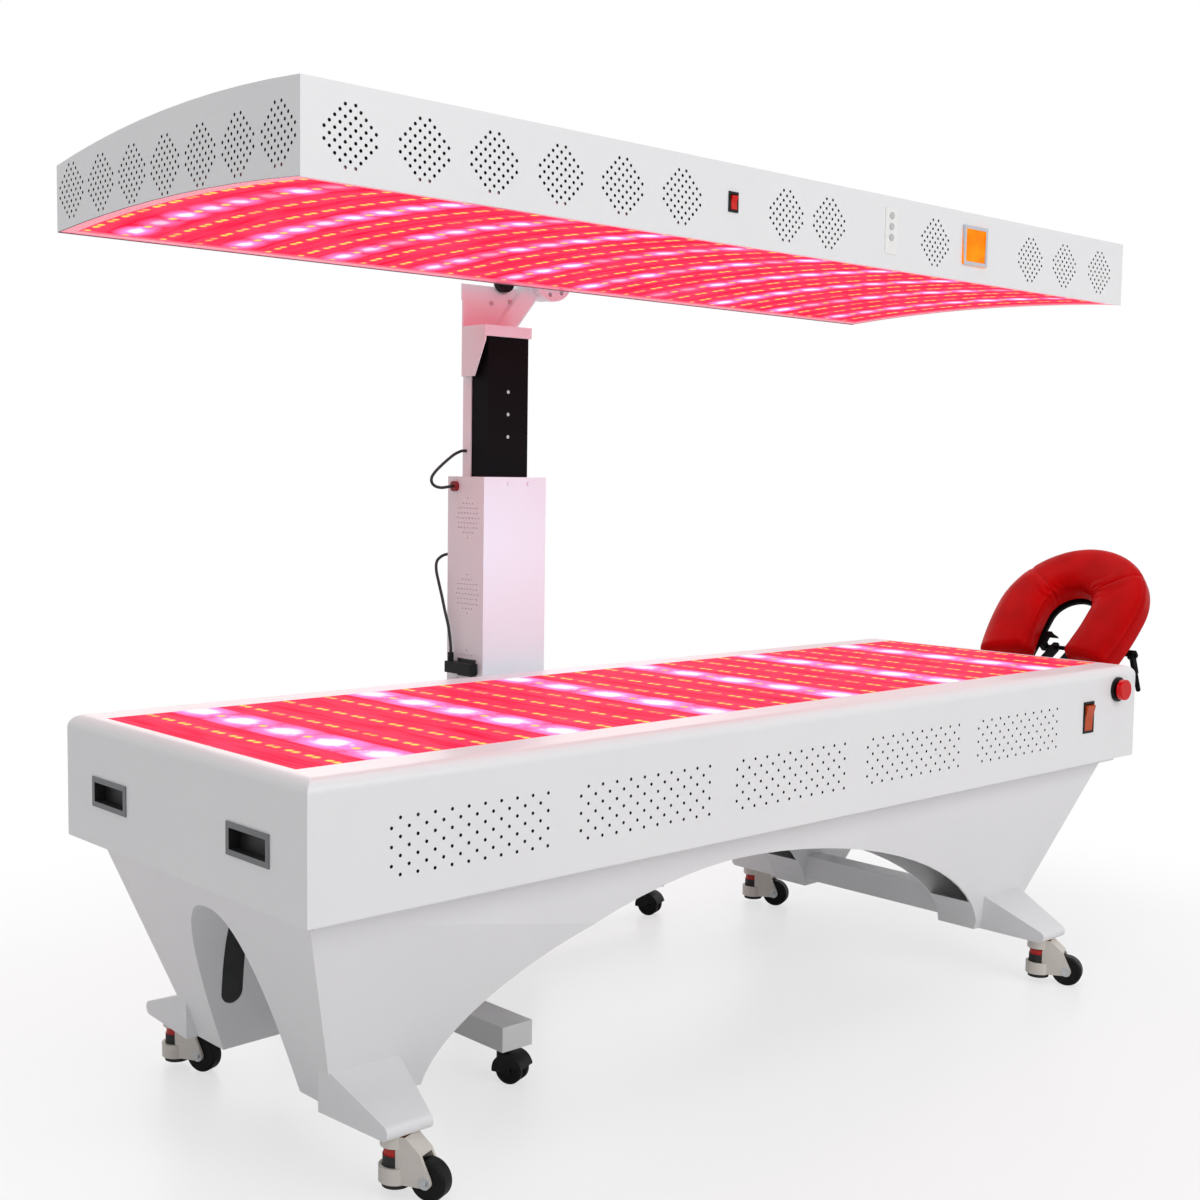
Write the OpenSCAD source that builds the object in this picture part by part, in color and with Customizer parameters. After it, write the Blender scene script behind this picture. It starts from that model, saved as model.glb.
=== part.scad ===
// Red light therapy bed: a lit lying surface on a wheeled arch frame, with a lit canopy
// carried over it by a lifting column. X runs along the bed towards the headrest, Y runs
// across it towards the column, and the origin is on the floor at the middle of the bed.

/* [Bed casing] */
// Length of the bed casing
bed_l = 2000; // [1900:10:2200]
// Width of the bed casing
bed_w = 680; // [640:10:760]
// Height of the bed casing
casing_h = 187; // [175:1:220]
// Thickness of the folded steel sheet
sheet_t = 3; // [2:0.5:4]
// Radius of the rounded upper edges
rim_r = 20; // [10:1:26]
// Flat rim between the casing's end and the lying panel
rim_end = 30; // [28:1:60]
// Flat rim between the casing's side and the lying panel
rim_side = 74; // [50:1:90]

/* [Light panels] */
// Thickness of the lying panel
bed_glass_t = 6; // [4:1:8]
// Thickness of the canopy panel
canopy_glass_t = 5; // [3:1:6]
// Width of the ledge that carries a panel
ledge_w = 12; // [8:1:16]
// Space between a panel and its lamp board
lamp_gap = 10; // [6:1:14]
// Thickness of a lamp board
board_t = 5; // [3:1:8]
// Clearance around a panel
panel_clear = 0.5; // [0.3:0.1:1]

/* [Power supplies] */
// Length of one power supply
supply_l = 215; // [160:5:260]
// Width of one power supply
supply_w = 115; // [80:5:140]
// Height of one power supply
supply_h = 50; // [30:1:60]
// Distance from one power supply to the next
supply_pitch = 420; // [300:10:460]

/* [Vents] */
// Diameter of the ventilation holes in the casings
vent_d = 5; // [3:0.5:6]
// Vent fields along each side of the bed
bed_fields = 5; // [3:1:5]
// Distance from one bed vent field to the next
bed_field_pitch = 328; // [320:1:340]
// Middle of the row of bed vent fields
bed_field_x = -85; // [-100:5:-60]
// Columns of holes in one bed vent field
bed_vent_cols = 10; // [5:1:10]
// Rows of holes in one bed vent field
bed_vent_rows = 7; // [3:1:8]
// Distance between the columns
bed_vent_dx = 28; // [18:1:28]
// Distance between the rows
bed_vent_dz = 12.5; // [10:0.5:14]
// Height of the fields above the casing's bottom
bed_vent_z = 85; // [75:1:95]
// Distance between the holes of a row in a canopy field
diamond_dx = 16; // [10:1:16]
// Distance between the rows of a canopy field
diamond_dz = 8; // [6:0.5:8]

/* [Leg frame] */
// Height of the legs below the top plate
leg_h = 298; // [270:1:330]
// Thickness of the top plate
plate_t = 12; // [8:1:16]
// Step from the casing's edge to the top plate's edge
plate_inset = 27; // [20:1:40]
// Step from the casing's end to the top of the leg frame
leg_top_inset_x = 35; // [30:1:60]
// Step from the casing's side to the top of the leg frame
leg_top_inset_y = 50; // [42:1:70]
// Foot-end face of the legs at the bottom, from the middle
foot_leg_x = 865; // [840:5:900]
// Head-end face of the legs at the bottom, from the middle
head_leg_x = 680; // [670:5:720]
// Outer side face of the foot-end legs at the bottom, from the middle
leg_side_y = 191; // [180:1:205]
// How much farther out each head-end leg stands than its foot-end one
head_spread = 70; // [50:5:75]
// Length of a foot-end leg's foot along the bed
leg_foot_l = 145; // [130:5:170]
// Length of a head-end leg's foot along the bed
head_foot_l = 110; // [100:5:130]
// Rise of the side arch above the legs' bottom
arch_h = 259; // [220:1:265]
// Crown of the side arch, from the middle
arch_crown_x = -150; // [-200:10:-50]
// Roundness of the side arch
arch_power = 1.8; // [1.6:0.1:2.2]
// Height of the closed side of a leg's foot
foot_side_h = 60; // [30:5:80]
// Half width of the foot-end opening at the bottom
end_half = 107; // [85:1:115]
// Rise of the end openings above the legs' bottom
end_h = 259; // [220:1:262]
// Roundness of the end opening
end_power = 2.5; // [2:0.1:3]
// Thickness of the leg frame's skin
skin_t = 4; // [3:0.5:5]
// Width of the slot in each leg's lining
slot_w = 38; // [30:1:44]
// Bottom of the slot above the legs' bottom
slot_low = 70; // [60:1:90]
// Top of the slot above the legs' bottom
slot_high = 215; // [180:1:220]
// Distance from a leg's end face to the middle of its slot
slot_x = 14; // [10:1:24]
// Side of the square cross beams
cross_s = 50; // [40:1:60]
// Height of the cross beams above the legs' bottom
cross_z = 15; // [5:1:25]
// Wall of the square cross beams
cross_t = 3; // [2:0.5:4]

/* [Outrigger feet] */
// Width of a foot at the leg
heel_w = 122; // [110:1:130]
// Height of a foot at the leg
heel_h = 70; // [60:1:80]
// Width of a foot at its nose
toe_w = 75; // [60:1:80]
// Radius of the rounded nose
toe_r = 11; // [9:0.5:12]
// Nose of a foot beyond its caster stem
toe_tip = 32; // [26:1:36]
// Foot-end caster stems, from the middle of the bed's length
foot_stem_x = 838; // [820:1:850]
// Foot-end caster stems, from the middle of the bed's width
foot_stem_y = 303; // [295:1:320]
// Head-end caster stems, from the middle of the bed's length
head_stem_x = 624; // [615:1:640]
// Head-end caster stems, from the middle of the bed's width
head_stem_y = 368; // [350:1:380]
// Step from a foot-end stem to the middle of its heel
foot_heel_shift = 14; // [5:1:20]
// Step from a head-end stem to the middle of its heel
head_heel_shift = 22; // [10:1:35]

/* [Leveling casters] */
// Height of a leveling caster
caster_h = 85; // [80:1:95]
// Diameter of its wheel
wheel_d = 56; // [50:1:58]
// Width of its wheel
wheel_w = 23; // [18:1:24]
// Distance of the axle behind the stem
wheel_trail = 54; // [53:1:60]
// Direction in which the wheels trail, from straight to the front
trail_turn = 21.8; // [0:0.1:45]
// Diameter of the stem
stem_d = 12; // [10:1:14]
// Length of the stem in the foot
stem_l = 15; // [12:1:17]
// Diameter of the leveling pad
pad_d = 39; // [34:0.5:39]
// Underside of the raised pad above the floor
pad_z = 10; // [8:1:14]
// Diameter of the red thumbwheel
dial_d = 34; // [30:1:36]
// Height of the red thumbwheel
dial_h = 10; // [8:1:11]
// Travel of the pad
pad_travel = 9; // [5:1:10]
// Diameter of the wheel's axle
axle_d = 8; // [6:1:10]
// Radial clearance of every turning or sliding fit
run_clear = 0.05; // [0.02:0.01:0.08]
// Gap beside a turning wheel
side_clear = 0.6; // [0.4:0.1:1]

/* [Base and twin casters] */
// Width of the base's tubes
beam_w = 60; // [50:1:70]
// Height of the base's tubes
beam_h = 40; // [30:1:45]
// Wall of the base's tubes
beam_t = 3; // [2:0.5:4]
// Middle of the base's cross tube along the bed
beam_x = -480; // [-520:5:-440]
// Front end of the cross tube
beam_front_y = -125; // [-140:1:-100]
// Back end of the cross tube
beam_back_y = 600; // [580:1:640]
// Middle of the base's long tube across the bed
beam_long_y = 460; // [450:1:465]
// Right end of the long tube
beam_right_x = 400; // [360:5:440]
// Height of a twin caster
twin_h = 60; // [58:1:70]
// Diameter of the twin wheels
twin_d = 46; // [40:1:46]
// Width of one twin wheel
twin_w = 13; // [10:1:14]
// Distance of the twin axle behind the stem
twin_trail = 16; // [12:1:20]
// Distance of a twin caster's stem from its tube's end
twin_inset = 34; // [30:1:45]
// Diameter of a twin caster's stem
twin_stem_d = 10; // [8:1:11]
// Diameter of the twin wheels' axle
twin_axle_d = 6; // [5:0.5:8]
// Thickness of a twin caster's hood
hood_t = 2.5; // [2:0.5:3]

/* [Column] */
// Width of the outer sleeve
sleeve_w = 156; // [150:1:180]
// Depth of the outer sleeve
sleeve_d = 113; // [108:1:130]
// Front face of the sleeve from the middle of the bed
sleeve_y = 400; // [385:1:410]
// Middle of the sleeve along the bed
sleeve_x = -60; // [-80:1:-40]
// Top of the sleeve above the floor
sleeve_top = 953; // [930:1:980]
// Width of the black inner column
inner_w = 100; // [90:1:106]
// Depth of the black inner column
inner_d = 50; // [46:1:52]
// Front of the inner column behind the sleeve's front
inner_y = 20; // [16:1:24]
// Middle of the inner column from the sleeve's middle
inner_x = -4; // [-8:1:4]
// Top of the inner column below the canopy's underside
cap_drop = 107; // [90:1:120]
// Length of the inner column inside the sleeve
inner_engage = 300; // [260:5:340]
// Wall of the inner column
inner_t = 3; // [2:0.5:4]
// Depth of the white back bar
bar_d = 25; // [18:1:30]
// How far the back bar stands out beside the inner column
bar_lip = 2.5; // [2:0.5:6]
// Thickness of the cap plate
cap_t = 21; // [14:1:24]
// Overhang of the cap past the back bar on the foot side
cap_left = 10.5; // [8:0.5:14]
// Overhang of the cap past the back bar on the head side
cap_right = 0.5; // [0:0.5:4]
// Height of the cap's side cheek
cheek_h = 97; // [80:1:100]
// Sliding gap between column and sleeve mouth
mouth_gap = 0.5; // [0.3:0.1:1]

/* [Lift actuator] */
// Outer diameter of the actuator's housing
ram_d = 40; // [34:1:42]
// Diameter of the actuator's rod
rod_d = 22; // [16:1:24]
// Length of the actuator's housing
ram_l = 520; // [480:5:540]
// Lowest end of the rod above the housing's foot
rod_low = 210; // [180:5:260]

/* [Arm and flange] */
// Width of the diagonal arm
arm_w = 50; // [40:1:54]
// Depth of the diagonal arm
arm_d = 28; // [24:1:32]
// Bevel along the diagonal arm's front edges
arm_bevel = 8; // [4:1:10]
// Middle of the arm's foot on the cap, from the sleeve's middle
arm_foot_x = 36; // [32:1:40]
// Middle of the round flange from the sleeve's middle
flange_x = 149; // [140:1:156]
// Height of the flange's axis above the canopy's underside
flange_z = 30; // [26:1:34]
// Radius of the round flange
flange_r = 52; // [46:1:56]
// Thickness of the canopy's flange
flange_t = 15; // [12:1:18]
// Gap between the canopy's flange and the arm's disc
flange_gap = 1; // [0.5:0.1:1.5]
// Diameter of the flange's pin
pin_d = 20; // [14:1:24]
// Diameter of the holes in the flange
flange_hole_d = 10; // [7:0.5:11]
// Radius of the circle of holes in the flange
flange_hole_r = 40; // [36:1:42]

/* [Canopy] */
// Length of the canopy
canopy_l = 2000; // [1950:10:2200]
// Width of the canopy
canopy_w = 710; // [690:10:720]
// Middle of the canopy along the bed
canopy_x = 50; // [30:1:70]
// Back face of the canopy from the middle of the bed
canopy_back_y = 465; // [450:1:480]
// Underside of the canopy above the floor
canopy_z = 1330; // [1325:1:1350]
// Height of the canopy's front wall
canopy_front_h = 126; // [118:1:132]
// Height of the canopy's back wall
canopy_back_h = 104; // [100:1:116]
// Rise of the arched cover above a line from the front wall to the back wall
canopy_rise = 21; // [14:1:30]
// Rise of the arched underside
canopy_bow = 15; // [8:1:18]
// Thickness of the canopy's sheet
canopy_t = 2; // [1.5:0.5:3]
// Width of the pale frame around the canopy's panel
frame_w = 20; // [18:1:30]
// Thickness of the frame's ledge under the panel
frame_lip = 3; // [2:0.5:4]

/* [Controls] */
// Bed switch from the bed's head end
switch_end = 180; // [160:1:190]
// Bed switch above the casing's bottom
switch_z = 95; // [80:1:100]
// Width of the bed switch's bezel
switch_w = 38; // [32:1:44]
// Height of the bed switch's bezel
switch_h = 63; // [54:1:70]
// Stop button from the bed's head end
stop_end = 72; // [60:1:90]
// Stop button above the casing's bottom
stop_z = 143; // [138:1:145]
// Diameter of the stop button's mushroom
stop_d = 42; // [34:1:46]
// Diameter of the stop button's stem
stop_stem_d = 20; // [14:1:22]
// Travel of the stop button
stop_travel = 4; // [2:0.5:5]
// Canopy switch from the sleeve's middle
canopy_switch_x = -92; // [-100:1:-80]
// Width of the canopy switch's bezel
canopy_switch_w = 22; // [18:1:28]
// Height of the canopy switch's bezel
canopy_switch_h = 32; // [28:1:40]
// Rocking angle of a switch to each side
rock_angle = 8; // [4:1:9]
// Height of the canopy's controls above its underside
control_z = 66; // [60:1:68]
// Keypad from the middle of the canopy
keypad_x = 208; // [195:1:220]
// Width of the keypad's plate
keypad_w = 34; // [28:1:40]
// Height of the keypad's plate
keypad_h = 80; // [76:1:84]
// Thickness of the keypad's plate
keypad_t = 1.5; // [1:0.1:2]
// Diameter of a keypad button
key_d = 12; // [9:0.5:13]
// Distance between the keypad buttons
key_pitch = 19; // [16:1:20]
// Travel of a keypad button
key_travel = 1; // [0.5:0.1:1.5]
// Display from the middle of the canopy
display_x = 462; // [450:1:475]
// Width of the display's frame
display_w = 75; // [66:1:84]
// Height of the display's frame
display_h = 72; // [64:1:80]
// Width of the display's frame bars
display_bar = 6; // [4:1:8]
// Depth of the display's frame in front of the wall
display_t = 5; // [3:0.5:7]

/* [Recessed handles] */
// Width of a handle's flange
handle_w = 108; // [90:1:120]
// Height of a handle's flange
handle_h = 45; // [38:1:52]
// Depth of a handle's cup
handle_d = 18; // [12:1:24]
// Width of a handle's flange bars
handle_bar = 6; // [4:1:8]
// Handles from the middle of the bed's width
handle_y = 198; // [180:1:210]
// Height of the handles above the casing's bottom
handle_z = 82; // [70:1:95]

/* [Headrest] */
// Posts from the middle of the bed's width
post_y = 75; // [65:1:90]
// Height of the posts above the casing's bottom
post_z = 105; // [100:1:115]
// Diameter of the posts
post_d = 14; // [12:1:18]
// Length of a post inside the bed
post_in = 120; // [100:5:150]
// Cross tube from the bed's end
yoke_x = 169; // [160:1:180]
// Tilt axis from the bed's end
tilt_x = 290; // [280:1:300]
// Height of the tilt axis above the casing's bottom
tilt_z = 173; // [165:1:180]
// Slope of the headrest from level
tilt_angle = 46; // [35:1:60]
// Diameter of the tilt rod
tilt_rod_d = 10; // [8:1:12]
// Width of the cushion
cushion_w = 370; // [340:5:400]
// Length of the cushion up its slope
cushion_l = 330; // [310:5:350]
// Thickness of the cushion
cushion_t = 65; // [50:1:75]
// Width of the cushion's ring
ring_w = 126; // [115:1:132]
// Thickness of the platform
platform_t = 8; // [6:1:10]
// Platform's face above the tilt axis
platform_n = 13; // [13:0.5:16]
// Foot end of the cushion below the tilt axis
cushion_low = 75; // [60:1:80]
// Clamp lever's place on the tilt rod
lever_y = 172; // [171:1:180]
// Length of the clamp lever
lever_l = 88; // [70:1:100]

/* [Cables] */
// Diameter of the cables
cable_d = 6; // [4:0.5:7]
// Outer diameter of a cable gland
gland_d = 20; // [16:1:24]
// Length of a cable gland outside its wall
gland_l = 8; // [5:1:10]

/* [Hidden] */

// Heights above the floor
leg_z = caster_h;
plate_z = leg_z + leg_h;
casing_z = plate_z + plate_t;
bed_top = casing_z + casing_h;
beam_z = twin_h;
canopy_mid_y = canopy_back_y - canopy_w / 2;
canopy_front_y = canopy_back_y - canopy_w;
pivot_x = sleeve_x + flange_x;
pivot_z = canopy_z + flange_z;
arm_front_y = canopy_back_y + flange_t + flange_gap;
head_x = bed_l / 2;
switch_x = head_x - switch_end;
stop_x = head_x - stop_end;
front_y = -bed_w / 2;
nothing = 0.01;
seam = 0.3;
smooth = 64;

// Points of an arch outline: widths to the left and right, height h and roundness n
function arch_points(left, right, h, n) = [
  for (t = [0:5:180])
    [(t < 90 ? right : left) * sign(cos(t)) * pow(abs(cos(t)), 2 / n), h * pow(sin(t), 2 / n)]];

// A long bar along X with a rounded upper profile, and the same along Y
module round_topped(l, w, h, r) {
  intersection() {
    rotate([90, 0, 90]) translate([0, 0, -l / 2]) linear_extrude(l) rounded_top(w, h, r);
    rotate([90, 0, 0]) translate([0, 0, -w / 2]) linear_extrude(w) rounded_top(l, h, r);
  }
}

module rounded_top(w, h, r) {
  translate([-w / 2, 0]) square([w, h - r]);
  translate([-w / 2 + r, 0]) square([w - 2 * r, h]);
  for (s = [-1, 1])
    translate([s * (w / 2 - r), h - r]) circle(r, $fn = smooth);
}

module box(size, at) {
  translate([at[0] - size[0] / 2, at[1] - size[1] / 2, at[2]]) cube(size);
}

module x_rod(r, l, at, fn = smooth) {
  translate(at) rotate([0, 90, 0]) cylinder(r = r, h = l, center = true, $fn = fn);
}

module y_rod(r, l, at, fn = smooth) {
  translate(at) rotate([90, 0, 0]) cylinder(r = r, h = l, center = true, $fn = fn);
}

// Bed casing
glass_l = bed_l - 2 * rim_end;
glass_w = bed_w - 2 * rim_side;
ledge_z = bed_top - bed_glass_t;
board_top_z = ledge_z - lamp_gap;
socket_r = post_d / 2 + run_clear;
socket_wall = 3;
stop_y = front_y;

module bed_vents() {
  for (k = [0:bed_fields - 1], r = [0:bed_vent_rows - 1], c = [0:bed_vent_cols - 1])
    translate([
        bed_field_x + (k - (bed_fields - 1) / 2) * bed_field_pitch
          + (c - (r % 2) / 2 + 1 / 4 - (bed_vent_cols - 1) / 2) * bed_vent_dx,
        0,
        casing_z + bed_vent_z + (r - (bed_vent_rows - 1) / 2) * bed_vent_dz])
      rotate([90, 0, 0]) cylinder(d = vent_d, h = 4 * sheet_t, center = true, $fn = 16);
}

module bed_casing() {
  color("white") difference() {
    union() {
      translate([0, 0, casing_z]) difference() {
        round_topped(bed_l, bed_w, casing_h, rim_r);
        translate([0, 0, sheet_t])
          round_topped(bed_l - 2 * sheet_t, bed_w - 2 * sheet_t, casing_h - 2 * sheet_t,
            rim_r - sheet_t);
      }
      translate([0, 0, board_top_z])
        linear_extrude(bed_top - board_top_z - sheet_t / 2) difference() {
          square([glass_l + 2 * sheet_t + 2 * panel_clear, glass_w + 2 * sheet_t + 2 * panel_clear],
            center = true);
          square([glass_l - 2 * ledge_w, glass_w - 2 * ledge_w], center = true);
        }
      for (s = [-1, 1])
        x_rod(socket_r + socket_wall, post_in, [head_x - post_in / 2, s * post_y, casing_z + post_z]);
    }
    box([glass_l + 2 * panel_clear, glass_w + 2 * panel_clear, bed_glass_t + 1], [0, 0, ledge_z]);
    box([glass_l - 2 * ledge_w, glass_w - 2 * ledge_w, casing_h], [0, 0, board_top_z]);
    for (s = [-1, 1]) {
      translate([0, s * bed_w / 2, 0]) bed_vents();
      x_rod(socket_r, 2 * post_in + 2, [head_x, s * post_y, casing_z + post_z]);
      for (e = [-1, 1])
        translate([e * bed_l / 2, s * handle_y, casing_z + handle_z])
          cube([4 * sheet_t, handle_w - 2 * handle_bar, handle_h - 2 * handle_bar], center = true);
    }
    translate([switch_x, front_y, casing_z + switch_z])
      cube([switch_cup_w, 4 * sheet_t, switch_cup_h], center = true);
    y_rod(stop_neck_r, 4 * sheet_t, [stop_x, stop_y, casing_z + stop_z]);
  }
}

module bed_glass() {
  color([1, 0.35, 0.45, 0.4]) box([glass_l, glass_w, bed_glass_t], [0, 0, ledge_z]);
}

module bed_led_board() {
  color("crimson")
    box([glass_l, glass_w, board_t], [0, 0, board_top_z - board_t]);
}

module bed_power_supplies() {
  color("silver")
    for (k = [-1.5:1:1.5])
      box([supply_l, supply_w, supply_h], [k * supply_pitch, 0, casing_z + sheet_t]);
}

// Leg frame
leg_top_l = bed_l - 2 * leg_top_inset_x;
leg_top_w = bed_w - 2 * leg_top_inset_y;
arch_low_x = -foot_leg_x + leg_foot_l;
arch_high_x = head_leg_x - head_foot_l;

// How far a leg at x stands out beyond the foot-end ones
function spread_at(x) = head_spread * (x + foot_leg_x) / (foot_leg_x + head_leg_x);

// Inverted truncated pyramid of the legs, drawn in by a skin of thickness t
module leg_block(t) {
  near = leg_side_y - t;
  far = leg_side_y + head_spread - t;
  hull() {
    translate([0, 0, leg_z + (t > 0 ? t : -nothing)]) linear_extrude(nothing)
      polygon([[-foot_leg_x + t, -near], [head_leg_x - t, -far], [head_leg_x - t, far],
        [-foot_leg_x + t, near]]);
    box([leg_top_l - 2 * t, leg_top_w - 2 * t, nothing], [0, 0, plate_z - (t > 0 ? t : nothing)]);
  }
}

module arch_tunnel(grow) {
  translate([arch_crown_x, 0, leg_z]) rotate([90, 0, 0])
    linear_extrude(bed_w, center = true)
      tunnel_outline(arch_crown_x - arch_low_x + grow, arch_high_x - arch_crown_x + grow,
        arch_h + grow, arch_power);
}

// The opening under both ends, wider at the head end where the legs stand farther out
module end_tunnel(grow) {
  hull()
    for (x = [-bed_l / 2, bed_l / 2])
      translate([x, 0, leg_z]) rotate([90, 0, 90]) linear_extrude(nothing)
        tunnel_outline(end_half_at(x) + grow, end_half_at(x) + grow, end_h + grow, end_power);
}

function end_half_at(x) = end_half + spread_at(x);

module tunnel_outline(left, right, rise, power) {
  polygon(arch_points(left, right, rise, power));
  translate([-left, -20]) square([left + right, 20 + nothing]);
}

module slot_shapes(shrink) {
  for (x = [-foot_leg_x + slot_x, head_leg_x - slot_x]) {
    wide = 2 * end_half_at(x) + 3 * skin_t;
    translate([x, 0, 0]) {
      box([slot_w - 2 * shrink, wide, slot_high - slot_low - slot_w / 2 - shrink],
        [0, 0, leg_z + slot_low + slot_w / 2]);
      y_rod(slot_w / 2 - shrink, wide, [0, 0, leg_z + slot_low + slot_w / 2]);
    }
  }
}

module leg_frame() {
  color("gainsboro") difference() {
    union() {
      leg_block(0);
      box([bed_l - 2 * plate_inset, bed_w - 2 * plate_inset, plate_t], [0, 0, plate_z]);
    }
    arch_tunnel(0);
    end_tunnel(0);
    difference() {
      leg_block(skin_t);
      end_tunnel(skin_t);
      intersection() {
        arch_tunnel(skin_t);
        box([bed_l, bed_w, foot_side_h], [0, 0, leg_z]);
      }
    }
    box([leg_top_l - 2 * skin_t, leg_top_w - 2 * skin_t, plate_t], [0, 0, plate_z - skin_t - 1]);
    slot_shapes(0);
  }
}

module slot_liners() {
  color("black") intersection() {
    difference() {
      end_tunnel(skin_t);
      end_tunnel(skin_t / 3);
    }
    slot_shapes(panel_clear / 2);
    leg_block(0);
  }
}

module cross_beams() {
  color("gainsboro") intersection() {
    end_tunnel(0);
    for (x = [arch_low_x - cross_s / 2, arch_high_x + cross_s / 2])
      translate([x, 0, leg_z + cross_z + cross_s / 2]) rotate([90, 0, 0]) difference() {
        cube([cross_s, cross_s, 4 * end_half_at(x)], center = true);
        cube([cross_s - 2 * cross_t, cross_s - 2 * cross_t, 5 * end_half_at(x)], center = true);
      }
  }
}

// Outrigger feet and leveling casters
stems = [
  [-foot_stem_x, -foot_stem_y], [head_stem_x, -head_stem_y],
  [-foot_stem_x, foot_stem_y], [head_stem_x, head_stem_y]];
heel_shifts = [foot_heel_shift, head_heel_shift, foot_heel_shift, head_heel_shift];
stem_play = 1;

module outrigger_feet() {
  color("whitesmoke") difference() {
    for (i = [0:3]) {
      side = sign(stems[i][1]);
      hull() {
        box([heel_w, 2, heel_h],
          [stems[i][0] + heel_shifts[i], side * (leg_side_y + spread_at(stems[i][0]) - 6), leg_z]);
        translate([stems[i][0], stems[i][1] + side * (toe_tip - toe_r), leg_z + toe_r])
          rotate([0, 90, 0]) cylinder(r = toe_r, h = toe_w, center = true, $fn = 32);
        box([toe_w, 2, 2], [stems[i][0], stems[i][1], leg_z]);
      }
    }
    leg_block(0);
    for (p = stems)
      translate([p[0], p[1], leg_z - 1])
        cylinder(d = stem_d + 2 * run_clear, h = stem_l + stem_play + 1, $fn = smooth);
  }
}

// A leveling caster stands with its stem at the origin and its wheel trailing towards -Y
washer_t = 1;
fork_top = caster_h - washer_t;
fork_ceiling = fork_top - 18;
ring_low = pad_z + 7;
ring_high = ring_low + 22;
ring_r = pad_d / 2 + 4.5;
plate_r = ring_r - 2;
dial_z = fork_ceiling - 3 - dial_h;
screw_d = 8;
arm_in = wheel_w / 2 + side_clear;
fork_arm_t = 4.5;
arm_out = arm_in + fork_arm_t;
axle_z = wheel_d / 2;
boss_r = 9;
cover_y = [-24, -46];
cover_z = [fork_top, axle_z + 38];

module caster_fork() {
  color("antiquewhite") {
    difference() {
      union() {
        translate([0, 0, ring_low]) cylinder(r = ring_r, h = ring_high - ring_low, $fn = smooth);
        translate([0, 0, fork_ceiling]) cylinder(r = plate_r, h = fork_top - 1 - fork_ceiling, $fn = smooth);
        rotate([90, 0, 90]) linear_extrude(2 * arm_out, center = true) polygon([
          [-9, ring_low + 0.5], [-9, fork_top], [cover_y[0], fork_top], [cover_y[1], cover_z[1]],
          [-wheel_trail - boss_r + 1, axle_z + 5], [-wheel_trail - boss_r + 1, axle_z],
          [-wheel_trail, axle_z - boss_r + 1]]);
        for (s = [-1, 1])
          x_rod(boss_r, fork_arm_t + 0.8, [s * (arm_in + fork_arm_t / 2 + 0.4), -wheel_trail, axle_z]);
      }
      rotate([90, 0, 90]) linear_extrude(2 * arm_in, center = true) polygon([
        [-ring_r - 1, -5], [-ring_r - 1, ring_high], [-16, ring_high], [-16, fork_ceiling],
        [cover_y[0] - 16, fork_ceiling], [cover_y[1] + 2, cover_z[1] - 4], [-100, cover_z[1] - 4],
        [-100, -5]]);
      translate([0, 0, -1]) cylinder(d = pad_d + 2 * run_clear, h = ring_high + 1.5, $fn = smooth);
      translate([0, 0, ring_high - 1])
        cylinder(d = dial_d + 3, h = fork_ceiling - ring_high + 1.5, $fn = smooth);
      cylinder(d = screw_d + 2 * run_clear, h = fork_top - 2, $fn = smooth);
    }
    translate([0, 0, fork_top - 1]) cylinder(d = stem_d + 12, h = 1 + washer_t, $fn = smooth);
    translate([0, 0, fork_top - 1]) cylinder(d = stem_d, h = 1 + washer_t + stem_l, $fn = smooth);
    x_rod(axle_d / 2, 2 * arm_out, [0, -wheel_trail, axle_z]);
    for (s = [-1, 1])
      x_rod(axle_d / 2 + 1, 4, [s * (arm_out + 2), -wheel_trail, axle_z], 6);
  }
}

module caster_wheel() {
  color([0.1, 0.1, 0.1]) translate([0, -wheel_trail, axle_z]) rotate([0, 90, 0]) difference() {
    rotate_extrude($fn = smooth) wheel_section(wheel_d / 2, wheel_w, 3);
    cylinder(d = axle_d + 2 * run_clear, h = wheel_w + 2, center = true, $fn = smooth);
  }
}

module wheel_section(r, w, edge) {
  polygon([[0, -w / 2], [r - edge, -w / 2], [r, -w / 2 + edge], [r, w / 2 - edge],
    [r - edge, w / 2], [0, w / 2]]);
}

module caster_pad() {
  color("firebrick") {
    translate([0, 0, pad_z]) cylinder(d = pad_d, h = ring_high - 1 - pad_z, $fn = smooth);
    translate([0, 0, ring_high - 2]) cylinder(d = pad_d - 2, h = dial_z - ring_high + 3, $fn = smooth);
    translate([0, 0, dial_z]) cylinder(d = dial_d, h = dial_h, $fn = 24);
    translate([0, 0, dial_z + dial_h - 1])
      cylinder(d = screw_d, h = fork_top - 3 - dial_z - dial_h + 1, $fn = smooth);
  }
}

module at_caster(i) {
  translate([stems[i][0], stems[i][1], 0]) rotate([0, 0, trail_turn]) children();
}

// Base of the column with its twin casters
beam_left_x = beam_x - beam_w / 2;
twin_stems = [
  [beam_x, beam_front_y + twin_inset], [beam_x, beam_back_y - twin_inset],
  [beam_right_x - twin_inset, beam_long_y]];
boss_h = 20;
cap_end_t = 4;

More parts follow.
